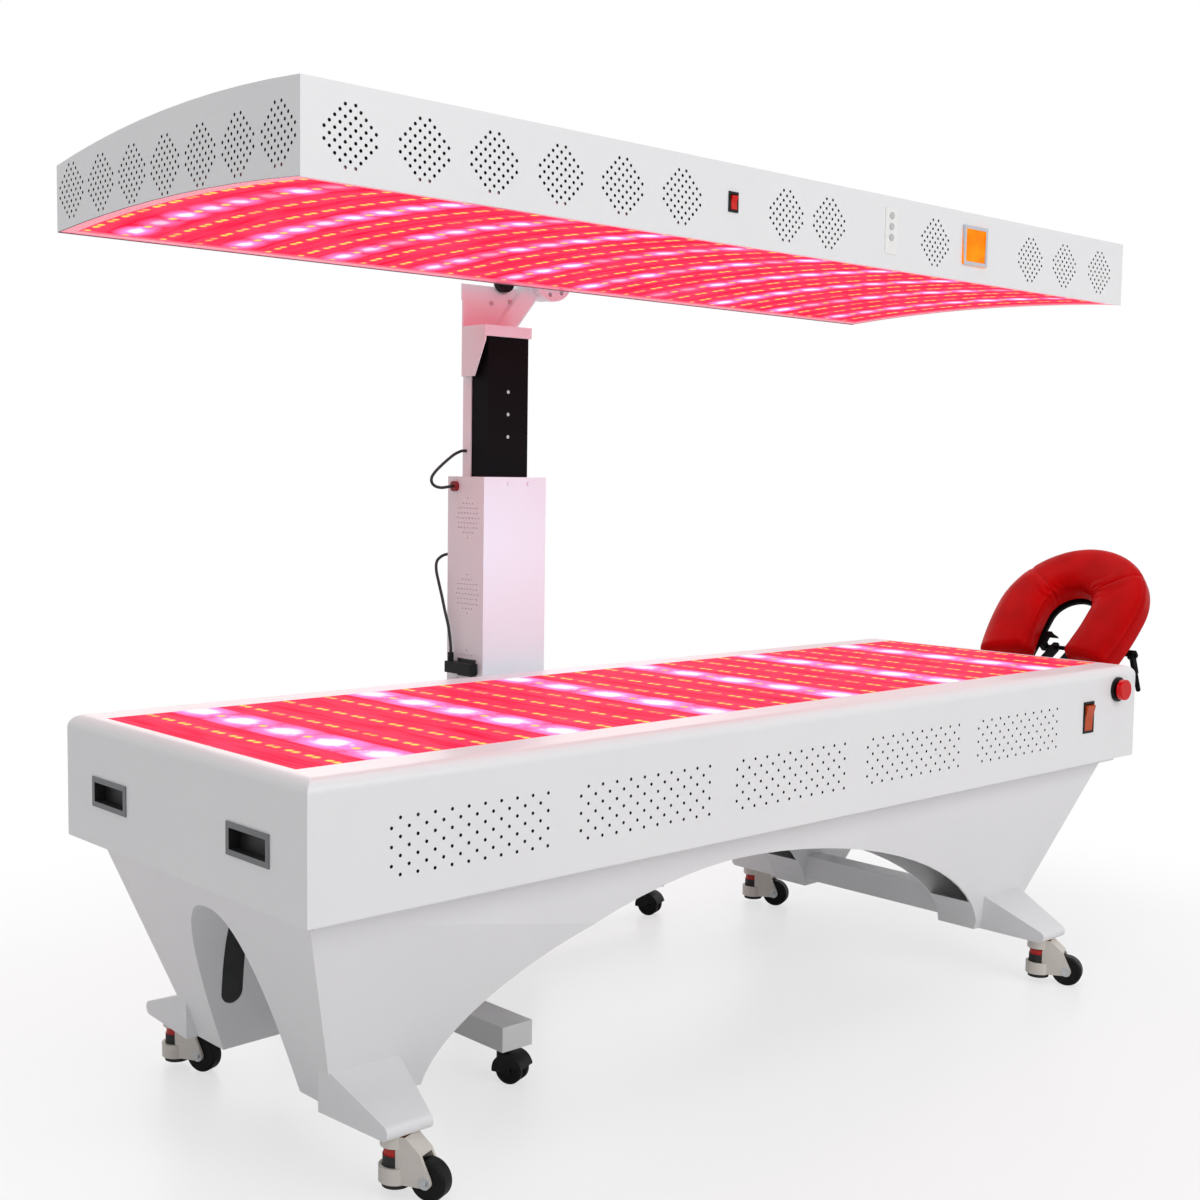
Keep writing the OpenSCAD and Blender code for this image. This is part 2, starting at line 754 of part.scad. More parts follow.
module base_beams() {
  color("lightgray") {
    difference() {
      union() {
        translate([beam_left_x, beam_front_y + cap_end_t, beam_z])
          cube([beam_w, beam_back_y - beam_front_y - 2 * cap_end_t, beam_h]);
        translate([beam_x, beam_long_y - beam_w / 2, beam_z])
          cube([beam_right_x - cap_end_t - beam_x, beam_w, beam_h]);
      }
      translate([beam_left_x + beam_t, beam_front_y, beam_z + beam_t])
        cube([beam_w - 2 * beam_t, beam_back_y - beam_front_y, beam_h - 2 * beam_t]);
      translate([beam_x, beam_long_y - beam_w / 2 + beam_t, beam_z + beam_t])
        cube([beam_right_x - beam_x, beam_w - 2 * beam_t, beam_h - 2 * beam_t]);
      for (p = twin_stems)
        translate([p[0], p[1], beam_z - 1])
          cylinder(d = twin_stem_d + 2 * run_clear, h = beam_t + 2, $fn = smooth);
    }
    for (p = twin_stems)
      translate([p[0], p[1], beam_z + beam_t - nothing]) difference() {
        cylinder(d = twin_stem_d + 10, h = boss_h, $fn = smooth);
        translate([0, 0, -1]) cylinder(d = twin_stem_d + 2 * run_clear, h = boss_h + 2, $fn = smooth);
      }
    for (y = [beam_front_y, beam_back_y - cap_end_t])
      translate([beam_left_x, y, beam_z]) cube([beam_w, cap_end_t, beam_h]);
    translate([beam_right_x - cap_end_t, beam_long_y - beam_w / 2, beam_z])
      cube([cap_end_t, beam_w, beam_h]);
  }
}

twin_r = twin_d / 2;
web_half = 3;
cheek_in = web_half + 2 * side_clear + twin_w;
hood_gap = 1.2;

module twin_hood() {
  color([0.08, 0.08, 0.08]) {
    difference() {
      union() {
        difference() {
          x_rod(twin_r + hood_gap + hood_t, 2 * (cheek_in + hood_t), [0, -twin_trail, twin_r]);
          for (s = [-1, 1])
            x_rod(twin_r + hood_gap, cheek_in - web_half,
              [s * (cheek_in + web_half) / 2, -twin_trail, twin_r]);
          box([3 * cheek_in, 4 * twin_r, twin_r], [0, -twin_trail, -4]);
          translate([-2 * cheek_in, -twin_trail - 2 * twin_r, -1])
            cube([4 * cheek_in, 2 * twin_r, twin_r + 6]);
        }
        translate([0, 0, twin_r + 8]) cylinder(d = 22, h = beam_z - 1 - twin_r - 8, $fn = smooth);
        translate([0, -twin_trail, twin_r]) rotate([0, 90, 0])
          cylinder(r = twin_axle_d / 2 + 3, h = 2 * (cheek_in + hood_t), center = true, $fn = smooth);
      }
      for (s = [-1, 1])
        x_rod(twin_r + hood_gap, cheek_in - web_half,
          [s * (cheek_in + web_half) / 2, -twin_trail, twin_r]);
      x_rod(twin_axle_d / 2 + run_clear, 3 * cheek_in, [0, -twin_trail, twin_r]);
    }
    translate([0, 0, beam_z - 2]) cylinder(d = twin_stem_d, h = boss_h + 2, $fn = smooth);
  }
}

module twin_wheels() {
  color([0.12, 0.12, 0.12]) translate([0, -twin_trail, twin_r]) rotate([0, 90, 0]) {
    cylinder(d = twin_axle_d, h = 2 * (cheek_in + hood_t), center = true, $fn = smooth);
    for (s = [-1, 1])
      translate([0, 0, s * (web_half + side_clear + twin_w / 2)])
        rotate_extrude($fn = smooth) wheel_section(twin_r, twin_w, 3);
  }
}

module at_twin(i) {
  translate([twin_stems[i][0], twin_stems[i][1], 0]) rotate([0, 0, trail_turn]) children();
}

// Column sleeve
sleeve_z = beam_z + beam_h;
sleeve_back = sleeve_y + sleeve_d;
sleeve_left = sleeve_x - sleeve_w / 2;
column_x = sleeve_x + inner_x;
column_front = sleeve_y + inner_y;
column_back = column_front + inner_d;
bar_w = inner_w + 2 * bar_lip;
bar_back = column_back + bar_d;
foot_t = 8;
foot_lip = 12;
sleeve_vent_y = sleeve_y + 50;
sleeve_vent_top = sleeve_top - 80;
sleeve_vent_step = 148;
sleeve_vent_rows = [1, 4, 7, 7, 8, 7, 7, 4, 1];
sleeve_vent_pitch = 9.5;

module sleeve_vents() {
  for (k = [0:2], r = [0:len(sleeve_vent_rows) - 1], c = [0:sleeve_vent_rows[r] - 1])
    translate([
        sleeve_x,
        sleeve_vent_y + (c - (sleeve_vent_rows[r] - 1) / 2) * sleeve_vent_pitch,
        sleeve_vent_top - k * sleeve_vent_step
          + (r - (len(sleeve_vent_rows) - 1) / 2) * sleeve_vent_pitch])
      rotate([0, 90, 0]) cylinder(d = 3.2, h = sleeve_w + 2, center = true, $fn = 16);
}

module column_mouth(gap) {
  translate([column_x - inner_w / 2 - gap, column_front - gap])
    square([inner_w + 2 * gap, inner_d + 2 * gap]);
  translate([column_x - bar_w / 2 - gap, column_back - gap])
    square([bar_w + 2 * gap, bar_d + 2 * gap]);
}

module column_sleeve() {
  color("lavenderblush") {
    difference() {
      union() {
        translate([sleeve_left, sleeve_y, sleeve_z]) cube([sleeve_w, sleeve_d, sleeve_top - sleeve_z]);
        translate([sleeve_left - foot_lip, sleeve_y - foot_lip, sleeve_z])
          cube([sleeve_w + 2 * foot_lip, sleeve_d + 2 * foot_lip, foot_t]);
      }
      translate([sleeve_left + sheet_t, sleeve_y + sheet_t, sleeve_z + foot_t])
        cube([sleeve_w - 2 * sheet_t, sleeve_d - 2 * sheet_t,
          sleeve_top - sleeve_z - foot_t - sheet_t]);
      translate([0, 0, sleeve_top - 2 * sheet_t]) linear_extrude(3 * sheet_t) column_mouth(mouth_gap);
      sleeve_vents();
      x_rod(cable_d / 2, 4 * sheet_t, [sleeve_left, gland_y, gland_z]);
      y_rod(cable_d / 2, 4 * sheet_t, [back_gland_x, sleeve_back, back_gland_z]);
    }
    for (x = [sleeve_x - 17, sleeve_x + 33])
      y_rod(4, 3, [x, sleeve_y - 1.5, sleeve_top - 13], 24);
  }
}

// Cable glands, inlet, plug and cables
gland_y = sleeve_y + 87;
gland_z = sleeve_top - 19;
back_gland_x = sleeve_left + 20;
back_gland_z = sleeve_top - 153;
inlet_y = sleeve_y + 48;
inlet_z = sleeve_top - 372;
inlet_t = 4;
plug_x = sleeve_left - inlet_t - 9;
plug_y = sleeve_y + 84;
plug_top = inlet_z + 28;

module cable_fittings() {
  color("darkred") {
    difference() {
      x_rod(gland_d / 2, gland_l, [sleeve_left - gland_l / 2, gland_y, gland_z]);
      x_rod(cable_d / 2, gland_l + 2, [sleeve_left - gland_l / 2, gland_y, gland_z]);
    }
    difference() {
      y_rod(gland_d / 2, gland_l, [back_gland_x, sleeve_back + gland_l / 2, back_gland_z]);
      y_rod(cable_d / 2, gland_l + 2, [back_gland_x, sleeve_back + gland_l / 2, back_gland_z]);
    }
    translate([sleeve_left - inlet_t, inlet_y - 26, inlet_z - 17]) cube([inlet_t, 52, 34]);
  }
}

module power_plug() {
  color([0.05, 0.05, 0.05]) {
    translate([plug_x - 9, inlet_y - 36, inlet_z - 11]) cube([18, 80, 22]);
    translate([plug_x, plug_y, inlet_z + 10]) cylinder(d = 12, h = plug_top - inlet_z - 10, $fn = 32);
  }
}

// Hand-chosen points of the two cables, from their start to their end
power_route = [
  [back_gland_x, sleeve_back, 800], [-118, 519, 800], [-118, 525, 800], [-121, 533, 799], [-131, 540, 795],
  [-143, 541, 785], [-150, 534, 768], [-153, 522, 745], [-154, 510, 718], [-154, 500, 690],
  [-152, 491, 660], [-151, 486, 632], [plug_x, plug_y, 618], [plug_x, plug_y, plug_top]];
canopy_route = [
  [sleeve_left, gland_y, gland_z], [-144, 487, 934], [-150, 487, 934], [-162, 488, 932],
  [-174, 490, 931], [-185, 493, 934], [-192, 494, 941], [-192, 494, 951], [-184, 493, 962],
  [-172, 490, 974], [-158, 487, 986], [-144, 485, 996], [-130, 484, 1002], [-124, 484, 1003],
  [column_x - bar_w / 2, 484, 1003]];

function unit(v) = v / norm(v);
function tangent(p, i) = unit(p[min(i + 1, len(p) - 1)] - p[max(i - 1, 0)]);
function spline_point(p, i, t) =
  let (a = p[max(i - 1, 0)], b = p[i], c = p[i + 1], d = p[min(i + 2, len(p) - 1)])
  0.5 * (2 * b + (c - a) * t + (2 * a - 5 * b + 4 * c - d) * t * t + (3 * b - a - 3 * c + d) * t * t * t);
function spline(p, steps) = concat(
  [for (i = [0:len(p) - 2], k = [0:steps - 1]) spline_point(p, i, k / steps)], [p[len(p) - 1]]);
// A frame that is carried along the route without twist
function carried(v, t) = unit(v - (v * t) * t);
function side_vectors(p, v0, i = 0, out = []) =
  i == len(p) ? out
  : let (v = carried(i == 0 ? v0 : out[i - 1], tangent(p, i))) side_vectors(p, v0, i + 1, concat(out, [v]));

module cable(route, radius, start_side, steps) {
  p = spline(route, steps);
  side = side_vectors(p, start_side);
  sides = 8;
  points = [for (i = [0:len(p) - 1], k = [0:sides - 1])
    let (n = side[i], b = cross(tangent(p, i), n), a = 360 * k / sides)
      p[i] + radius * (cos(a) * n + sin(a) * b)];
  last = (len(p) - 1) * sides;
  faces = concat(
    [[for (k = [sides - 1:-1:0]) k]],
    [for (i = [0:len(p) - 2], k = [0:sides - 1])
      [i * sides + k, i * sides + (k + 1) % sides, (i + 1) * sides + (k + 1) % sides, (i + 1) * sides + k]],
    [[for (k = [0:sides - 1]) last + k]]);
  polyhedron(points, faces, convexity = 8);
}

module power_cable() {
  color([0.05, 0.05, 0.05]) cable(power_route, cable_d / 2 - 0.1, [0, 0, 1], 2);
}

module canopy_cable() {
  color([0.05, 0.05, 0.05]) cable(canopy_route, cable_d / 2 - 0.1, [0, 1, 0], 2);
}

// Lift actuator and lifting column
ram_foot_z = sleeve_z + foot_t;
ram_y = column_front + inner_d / 2;
column_bottom = sleeve_top - inner_engage;
column_top = canopy_z - cap_drop;
cap_z = column_top;
cap_top = cap_z + cap_t;
ram_floor = 6;

module actuator_housing() {
  color("silver") translate([column_x, ram_y, ram_foot_z]) difference() {
    cylinder(d = ram_d, h = ram_l, $fn = smooth);
    translate([0, 0, ram_floor]) cylinder(d = rod_d + 6, h = ram_l - 30 - ram_floor, $fn = smooth);
    translate([0, 0, ram_floor]) cylinder(d = rod_d + 2 * run_clear, h = ram_l, $fn = smooth);
  }
}

module actuator_rod() {
  color("gray") translate([column_x, ram_y, ram_foot_z + rod_low])
    cylinder(d = rod_d, h = column_top - inner_t - ram_foot_z - rod_low, $fn = smooth);
}

column_screws_z = [for (k = [0:2]) sleeve_top + 78 + 43.5 * k];
column_screw_r = 3.5;

module inner_column() {
  color([0.07, 0.07, 0.07]) difference() {
    translate([column_x - inner_w / 2, column_front, column_bottom]) difference() {
      cube([inner_w, inner_d, column_top - column_bottom]);
      translate([inner_t, inner_t, -1])
        cube([inner_w - 2 * inner_t, inner_d - 2 * inner_t, column_top - column_bottom - inner_t + 1]);
    }
    for (z = column_screws_z)
      y_rod(column_screw_r + run_clear, 3 * inner_t, [column_x, column_front, z]);
  }
}

cap_left_x = column_x - bar_w / 2 - cap_left;
cap_right_x = column_x + bar_w / 2 + cap_right;
cap_front = column_front - 6;
cap_back = arm_front_y + arm_d + 3;
back_plate_y = arm_front_y + 3;
back_plate_t = 3;
back_plate_top = canopy_z - 4;
plate_step_z = cap_top + 50;
knob_x = column_x + 34;
knob_z = canopy_z + 8;
knob_r = 22;
knob_t = 12;
knob_shaft_r = 4;
canopy_entry_y = 484;
canopy_entry_z = 1003;
arm_start = [sleeve_x + arm_foot_x, cap_top];
arm_end = [pivot_x - 16, pivot_z];
arm_run = arm_end - arm_start;
arm_len = norm(arm_run);
arm_slope = atan2(arm_run[1], arm_run[0]);
// Left edge of the diagonal arm at height z
function arm_left(z) = arm_start[0] + (z - arm_start[1]) / tan(arm_slope) - arm_w / 2 / sin(arm_slope);

module column_carriage() {
  color("lavenderblush") {
    difference() {
      union() {
        translate([column_x - bar_w / 2, column_back, column_bottom])
          cube([bar_w, bar_d, cap_z - column_bottom]);
        translate([cap_left_x, cap_front, cap_z])
          cube([cap_right_x - cap_left_x, back_plate_y + back_plate_t - cap_front, cap_t]);
        translate([cap_left_x + 30, back_plate_y, cap_z])
          cube([arm_start[0] + arm_w / 2 / sin(arm_slope) + 3 - cap_left_x - 30,
            cap_back - back_plate_y, cap_t]);
        translate([cap_left_x, 0, cap_top]) rotate([90, 0, 90]) linear_extrude(sheet_t)
          polygon([
            [cap_front, 0], [cap_front, -cap_t - 6], [cap_front + 34, -cheek_h],
            [back_plate_y, -cheek_h], [back_plate_y, 0]]);
        translate([cap_left_x, back_plate_y, cap_top - cheek_h])
          cube([cap_left + 1, back_plate_t, cheek_h]);
        translate([0, back_plate_y + back_plate_t, 0]) rotate([90, 0, 0]) linear_extrude(back_plate_t)
          polygon([
            [cap_left_x, cap_top - 1], [arm_left(cap_top) - seam, cap_top - 1],
            [arm_left(back_plate_top) - seam, back_plate_top], [cap_left_x - 2, back_plate_top],
            [cap_left_x - 2, plate_step_z], [cap_left_x, plate_step_z]]);
      }
      x_rod(cable_d / 2, 12, [column_x - bar_w / 2, canopy_entry_y, canopy_entry_z]);
      y_rod(knob_r + 3, 4 * back_plate_t, [knob_x, back_plate_y, knob_z]);
    }
    difference() {
      translate([knob_x - 16, back_plate_y + back_plate_t, knob_z - 44]) cube([32, 4, 58]);
      y_rod(knob_shaft_r + run_clear, 30, [knob_x, back_plate_y, knob_z]);
    }
  }
}

module lock_knob() {
  color([0.05, 0.05, 0.05]) {
    y_rod(knob_r, knob_t, [knob_x, canopy_back_y + 6 + knob_t / 2, knob_z], 24);
    y_rod(knob_shaft_r, 22, [knob_x, canopy_back_y + 5 + knob_t + 11, knob_z]);
    y_rod(knob_shaft_r + 4, 3, [knob_x, back_plate_y + back_plate_t + 4 + 2, knob_z], 6);
  }
}

module column_screws() {
  color("silver") {
    for (z = column_screws_z)
      y_rod(column_screw_r, inner_t + 0.2, [column_x, column_front - 0.2 + (inner_t + 0.2) / 2, z]);
    for (p = [[7, 49], [54, 56]])
      y_rod(4, 3, [column_x + p[0], back_plate_y - 1.5, cap_top + p[1]], 24);
  }
}

// Diagonal arm with its disc, and the canopy's flange that turns against it on a pin
module diagonal_arm() {
  color("white") difference() {
    union() {
      intersection() {
        translate([arm_start[0], arm_front_y, arm_start[1]]) rotate([0, -arm_slope, 0])
          rotate([90, 0, 90]) translate([0, 0, -60]) linear_extrude(arm_len + 60) polygon([
            [0, -arm_w / 2 + arm_bevel], [arm_bevel, -arm_w / 2], [arm_d, -arm_w / 2],
            [arm_d, arm_w / 2], [arm_bevel, arm_w / 2], [0, arm_w / 2 - arm_bevel]]);
        translate([-bed_l / 2, 0, cap_top]) cube([bed_l, bed_w, 200]);
      }
      y_rod(flange_r - 2, arm_d, [pivot_x, arm_front_y + arm_d / 2, pivot_z]);
    }
    y_rod(pin_d / 2, 2 * arm_d + 2, [pivot_x, arm_front_y + arm_d / 2, pivot_z]);
  }
}

module hinge_pin() {
  pin_l = arm_front_y + arm_d - canopy_back_y - 1;
  color("silver") {
    y_rod(pin_d / 2, pin_l, [pivot_x, canopy_back_y + 1 + pin_l / 2, pivot_z]);
    y_rod(pin_d / 2 + 5, 5, [pivot_x, arm_front_y + arm_d + 2.5, pivot_z]);
  }
}

module canopy_flange() {
  color("white") difference() {
    y_rod(flange_r, flange_t, [pivot_x, canopy_back_y + flange_t / 2, pivot_z]);
    y_rod(pin_d / 2 + run_clear, 3 * flange_t, [pivot_x, canopy_back_y, pivot_z]);
    for (k = [0:7])
      translate([pivot_x, canopy_back_y - 1, pivot_z]) rotate([0, 45 * k + 12.5, 0])
        translate([0, 0, flange_hole_r]) rotate([-90, 0, 0])
          cylinder(d = flange_hole_d, h = flange_t - 4, $fn = 32);
  }
}

// Canopy
canopy_fall = canopy_front_h - canopy_back_h;
canopy_chord = sqrt(canopy_w * canopy_w + canopy_fall * canopy_fall);
canopy_top_r = (canopy_chord * canopy_chord / 4 + canopy_rise * canopy_rise) / (2 * canopy_rise);
frame_step = 1;
bow_rise = canopy_bow - frame_step;
canopy_bow_r = (pow(canopy_w / 2 - canopy_t, 2) + bow_rise * bow_rise) / (2 * bow_rise);
diamond_rows = [2, 3, 4, 5, 6, 5, 6, 5, 4, 3, 2];
// Vent fields on the front, from the canopy's left end
front_fields = [75, 193, 312, 435, 557, 683, 928, 1038, 1340, 1653, 1776, 1909];
end_field_pitch = 101;
end_fields = 7;
inside_l = canopy_l - 2 * canopy_t;
inside_w = canopy_w - 2 * canopy_t;
frame_h = frame_lip + canopy_glass_t + lamp_gap;
panel_l = inside_l - 2 * frame_w + 2 * ledge_w;
panel_w = inside_w - 2 * frame_w + 2 * ledge_w;

// Cross-section of the canopy, seen along the bed: the front wall is on the left
module arched_outline(w, r) {
  reach = canopy_rise - canopy_top_r;
  intersection() {
    translate([-w / 2, 0]) square([w, canopy_front_h + 2 * canopy_rise]);
    translate([0, (canopy_front_h + canopy_back_h) / 2])
      translate([canopy_fall / canopy_chord * reach, canopy_w / canopy_chord * reach])
        circle(r, $fn = 360);
  }
}

// Everything under a line that is parallel to the arched underside and this far above it
module under_bow(up) {
  translate([0, canopy_bow - canopy_bow_r]) circle(canopy_bow_r + up, $fn = 360);
}

// A sheet that follows the arched underside, from one height above it to another
module bowed_sheet(l, w, low, high) {
  rotate([90, 0, 90]) linear_extrude(l, center = true) intersection() {
    translate([-w / 2, -1]) square([w, canopy_bow + high + 2]);
    difference() {
      under_bow(high);
      under_bow(low);
    }
  }
}

module at_canopy() {
  translate([canopy_x, canopy_mid_y, canopy_z]) children();
}

module diamond_vents() {
  for (r = [0:len(diamond_rows) - 1], c = [0:diamond_rows[r] - 1])
    translate([(c - (diamond_rows[r] - 1) / 2) * diamond_dx, 0,
        (r - (len(diamond_rows) - 1) / 2) * diamond_dz])
      rotate([90, 0, 0]) cylinder(d = vent_d, h = 6 * canopy_t, center = true, $fn = 16);
}

module canopy_shell() {
  color("white") difference() {
    at_canopy() rotate([90, 0, 90]) difference() {
      linear_extrude(canopy_l, center = true) arched_outline(canopy_w, canopy_top_r);
      translate([0, -nothing, 0]) linear_extrude(inside_l, center = true)
        arched_outline(inside_w, canopy_top_r - canopy_t);
      linear_extrude(canopy_l + 2, center = true) intersection() {
        translate([-inside_w / 2, -5]) square([inside_w, canopy_bow + 10]);
        under_bow(0);
      }
    }
    for (d = front_fields)
      translate([canopy_x - canopy_l / 2 + d, canopy_front_y, canopy_z + control_z - 6]) diamond_vents();
    for (k = [0:end_fields - 1])
      translate([canopy_x - canopy_l / 2, canopy_mid_y + (k - (end_fields - 1) / 2) * end_field_pitch,
          canopy_z + control_z - 6])
        rotate([0, 0, 90]) diamond_vents();
    translate([canopy_switch_at[0], canopy_front_y, canopy_switch_at[1]])
      cube([canopy_cup_w, 6 * canopy_t, canopy_cup_h], center = true);
    for (k = [0:2])
      y_rod(key_d / 2 + 1, 6 * canopy_t, [key_x, canopy_front_y, key_z(k)]);
    translate([canopy_x + display_x, canopy_front_y, canopy_z + control_z])
      cube([display_w - 2 * display_bar, 6 * canopy_t, display_h - 2 * display_bar], center = true);
  }
}

module canopy_frame() {
  color("mistyrose") at_canopy() difference() {
    bowed_sheet(inside_l - panel_clear, inside_w - panel_clear, 0, frame_h);
    box([panel_l - 2 * ledge_w, panel_w - 2 * ledge_w, 3 * frame_h], [0, 0, -frame_h]);
    bowed_sheet(panel_l + 2 * panel_clear, panel_w + 2 * panel_clear, frame_lip, frame_h + 5);
  }
}

module canopy_glass() {
  color([1, 0.35, 0.45, 0.4]) at_canopy()
    bowed_sheet(panel_l, panel_w, frame_lip, frame_lip + canopy_glass_t);
}

module canopy_led_board() {
  color("crimson") at_canopy() bowed_sheet(inside_l - 3, inside_w - 3, frame_h, frame_h + board_t);
}

// Switches: a bezel with a cup, and a rocker that turns in it on two side pins
bezel_t = 2;
cup_wall = 1.5;
rock_play = 1.2;
switch_cup_w = switch_w - 6;
switch_cup_h = switch_h - 6;
switch_cup_d = 16;
canopy_cup_w = canopy_switch_w - 5;
canopy_cup_h = canopy_switch_h - 5;
canopy_cup_d = 13;
canopy_switch_at = [sleeve_x + canopy_switch_x, canopy_z + control_z];

// The cup opens towards -Y at the origin
module switch_bezel(w, h, cup_w, cup_h, cup_d) {
  difference() {
    union() {
      translate([0, -bezel_t / 2, 0]) cube([w, bezel_t, h], center = true);
      translate([0, cup_d / 2 - nothing, 0]) cube([cup_w - 0.4, cup_d, cup_h - 0.4], center = true);
    }
    translate([0, cup_d / 2 - bezel_t - cup_wall, 0])
      cube([cup_w - 2 * cup_wall, cup_d + bezel_t, cup_h - 2 * cup_wall], center = true);
    x_rod(1.5, cup_w + 2, [0, rock_pivot, 0]);
  }
}

rock_pivot = 4;

module rocker(cup_w, cup_h) {
  w = cup_w - 2 * cup_wall - 1;
  h = cup_h / 2 - cup_wall - rock_play;
  translate([0, rock_pivot, 0]) rotate([rock_angle, 0, 0]) {
    rotate([90, 0, 90]) linear_extrude(w, center = true)
      polygon([[-9, h], [-6.5, 0], [-9, -h], [-2, -h + 0.2], [4, -5], [4, 5], [-2, h - 0.2]]);
    x_rod(1.5 - run_clear, w + 3, [0, 0, 0]);
  }
}

stop_neck_r = stop_stem_d / 2 + 4;
collar_r = stop_d / 2 + 4;
collar_t = 5;
collar_in = 18;

module bed_control_bezels() {
  color([0.06, 0.06, 0.06]) {
    translate([switch_x, front_y, casing_z + switch_z])
      switch_bezel(switch_w, switch_h, switch_cup_w, switch_cup_h, switch_cup_d);
    difference() {
      union() {
        y_rod(collar_r, collar_t, [stop_x, front_y - collar_t / 2, casing_z + stop_z]);
        y_rod(stop_neck_r - 0.2, collar_in, [stop_x, front_y + collar_in / 2 - 1, casing_z + stop_z]);
      }
      y_rod(stop_stem_d / 2 + run_clear, 60, [stop_x, front_y, casing_z + stop_z]);
    }
  }
}

module bed_rocker() {
  color("darkorange") translate([switch_x, front_y, casing_z + switch_z])
    rocker(switch_cup_w, switch_cup_h);
}

module stop_button() {
  color("red") translate([stop_x, front_y - collar_t - stop_travel - seam, casing_z + stop_z])
    rotate([90, 0, 0]) {
      rotate_extrude($fn = smooth) difference() {
        union() {
          square([stop_d / 2 - 2, 12]);
          translate([0, 2]) square([stop_d / 2, 8]);
          translate([stop_d / 2 - 2, 2]) circle(2, $fn = 32);
          translate([stop_d / 2 - 2, 10]) circle(2, $fn = 32);
        }
        translate([-10, -5]) square([10, 20]);
      }
      translate([0, 0, -collar_in - 4]) cylinder(d = stop_stem_d, h = collar_in + 5, $fn = smooth);
    }
}

module canopy_switch_bezel() {
  color([0.06, 0.06, 0.06]) translate([canopy_switch_at[0], canopy_front_y, canopy_switch_at[1]])
    switch_bezel(canopy_switch_w, canopy_switch_h, canopy_cup_w, canopy_cup_h, canopy_cup_d);
}

module canopy_rocker() {
  color("red") translate([canopy_switch_at[0], canopy_front_y, canopy_switch_at[1]])
    rocker(canopy_cup_w, canopy_cup_h);
}

// Keypad and display
key_x = canopy_x + keypad_x;
key_first = 13;
function key_z(k) = canopy_z + control_z + keypad_h / 2 - key_first - k * key_pitch;

module keypad_plate() {
  color("whitesmoke") difference() {
    translate([key_x - keypad_w / 2, canopy_front_y - keypad_t, canopy_z + control_z - keypad_h / 2])
      cube([keypad_w, keypad_t, keypad_h]);
    for (k = [0:2])
      y_rod(key_d / 2 + run_clear, 4 * keypad_t, [key_x, canopy_front_y, key_z(k)]);
  }
}

module keypad_button(k) {
  color("silver") translate([key_x, canopy_front_y, key_z(k)]) rotate([90, 0, 0]) {
    translate([0, 0, -3]) cylinder(d = key_d, h = 3 + keypad_t + key_travel + 0.5, $fn = smooth);
    translate([0, 0, -4]) cylinder(d = key_d + 1.6, h = 1.4, $fn = smooth);
  }
}

module display_unit() {
  color("slategray") translate([canopy_x + display_x, canopy_front_y, canopy_z + control_z]) {
    difference() {
      translate([0, -display_t / 2, 0]) cube([display_w, display_t, display_h], center = true);
      translate([0, -display_t, 0])
        cube([display_w - 2 * display_bar, 2 * display_t - 4, display_h - 2 * display_bar], center = true);
    }
    translate([0, 8, 0])
      cube([display_w - 2 * display_bar - 0.6, 18, display_h - 2 * display_bar - 0.6], center = true);
  }
}

// Recessed handles
module recessed_handles() {
  color("dimgray")
    for (e = [-1, 1], s = [-1, 1])
      translate([e * bed_l / 2, s * handle_y, casing_z + handle_z]) mirror([e > 0 ? 1 : 0, 0, 0])
        difference() {
          union() {
            translate([-1, 0, 0]) cube([2, handle_w, handle_h], center = true);
            translate([handle_d / 2, 0, 0])
              cube([handle_d, handle_w - 2 * handle_bar - 0.4, handle_h - 2 * handle_bar - 0.4],
                center = true);
          }
          translate([handle_d / 2 - 4, 0, 0])
            cube([handle_d + 4, handle_w - 2 * handle_bar - 4, handle_h - 2 * handle_bar - 4],
              center = true);
        }
}

// Headrest
post_h = casing_z + post_z;
tilt_at = [head_x + tilt_x, 0, casing_z + tilt_z];
yoke_at = [head_x + yoke_x, 0, post_h];
strut_y = 25;
strut_t = 8;
strut_r = 12;
yoke_r = 8;
ear_y = 50;
ear_t = 8;
rod_end = lever_y + 12;

module headrest_posts() {
  color([0.06, 0.06, 0.06]) {
    for (s = [-1, 1])
      x_rod(post_d / 2, post_in + yoke_x, [head_x + (yoke_x - post_in) / 2, s * post_y, post_h]);
    y_rod(yoke_r, 2 * post_y + 24, yoke_at);
    for (s = [-1, 1])
      hull() {
        y_rod(strut_r, strut_t, yoke_at + [0, s * strut_y, 0], 32);
        y_rod(strut_r, strut_t, tilt_at + [0, s * strut_y, 0], 32);
      }
    translate([0, (ear_y + ear_t - rod_end) / 2, 0])
      y_rod(tilt_rod_d / 2, rod_end + ear_y + ear_t, tilt_at);
  }
}

// Draws its children in the headrest's plane: X across the bed, Y up the slope, Z out of it
module on_slope() {
  translate(tilt_at) rotate([0, -tilt_angle, 0]) rotate([0, 0, -90]) children();
}

gap_half = 42;
ring_mid = (cushion_w - ring_w) / 2;
ring_top = cushion_l - cushion_low - ring_w / 2 - ring_mid;

module platform_outline() {
  difference() {
    union() {
      translate([0, ring_top]) circle(cushion_w / 2 - 22, $fn = smooth);
      translate([-cushion_w / 2 + 22, -30]) square([cushion_w - 44, ring_top + 30]);
    }
    translate([0, ring_top]) circle(gap_half + 14, $fn = smooth);
    translate([-gap_half - 14, -cushion_w]) square([2 * gap_half + 28, cushion_w - 14]);
    translate([-cushion_w, -cushion_w - 60]) square([2 * cushion_w, cushion_w]);
    translate([-gap_half - 14, 30]) square([2 * gap_half + 28, ring_top - 30]);
    translate([-gap_half, -15]) square([2 * gap_half, 32]);
  }
}

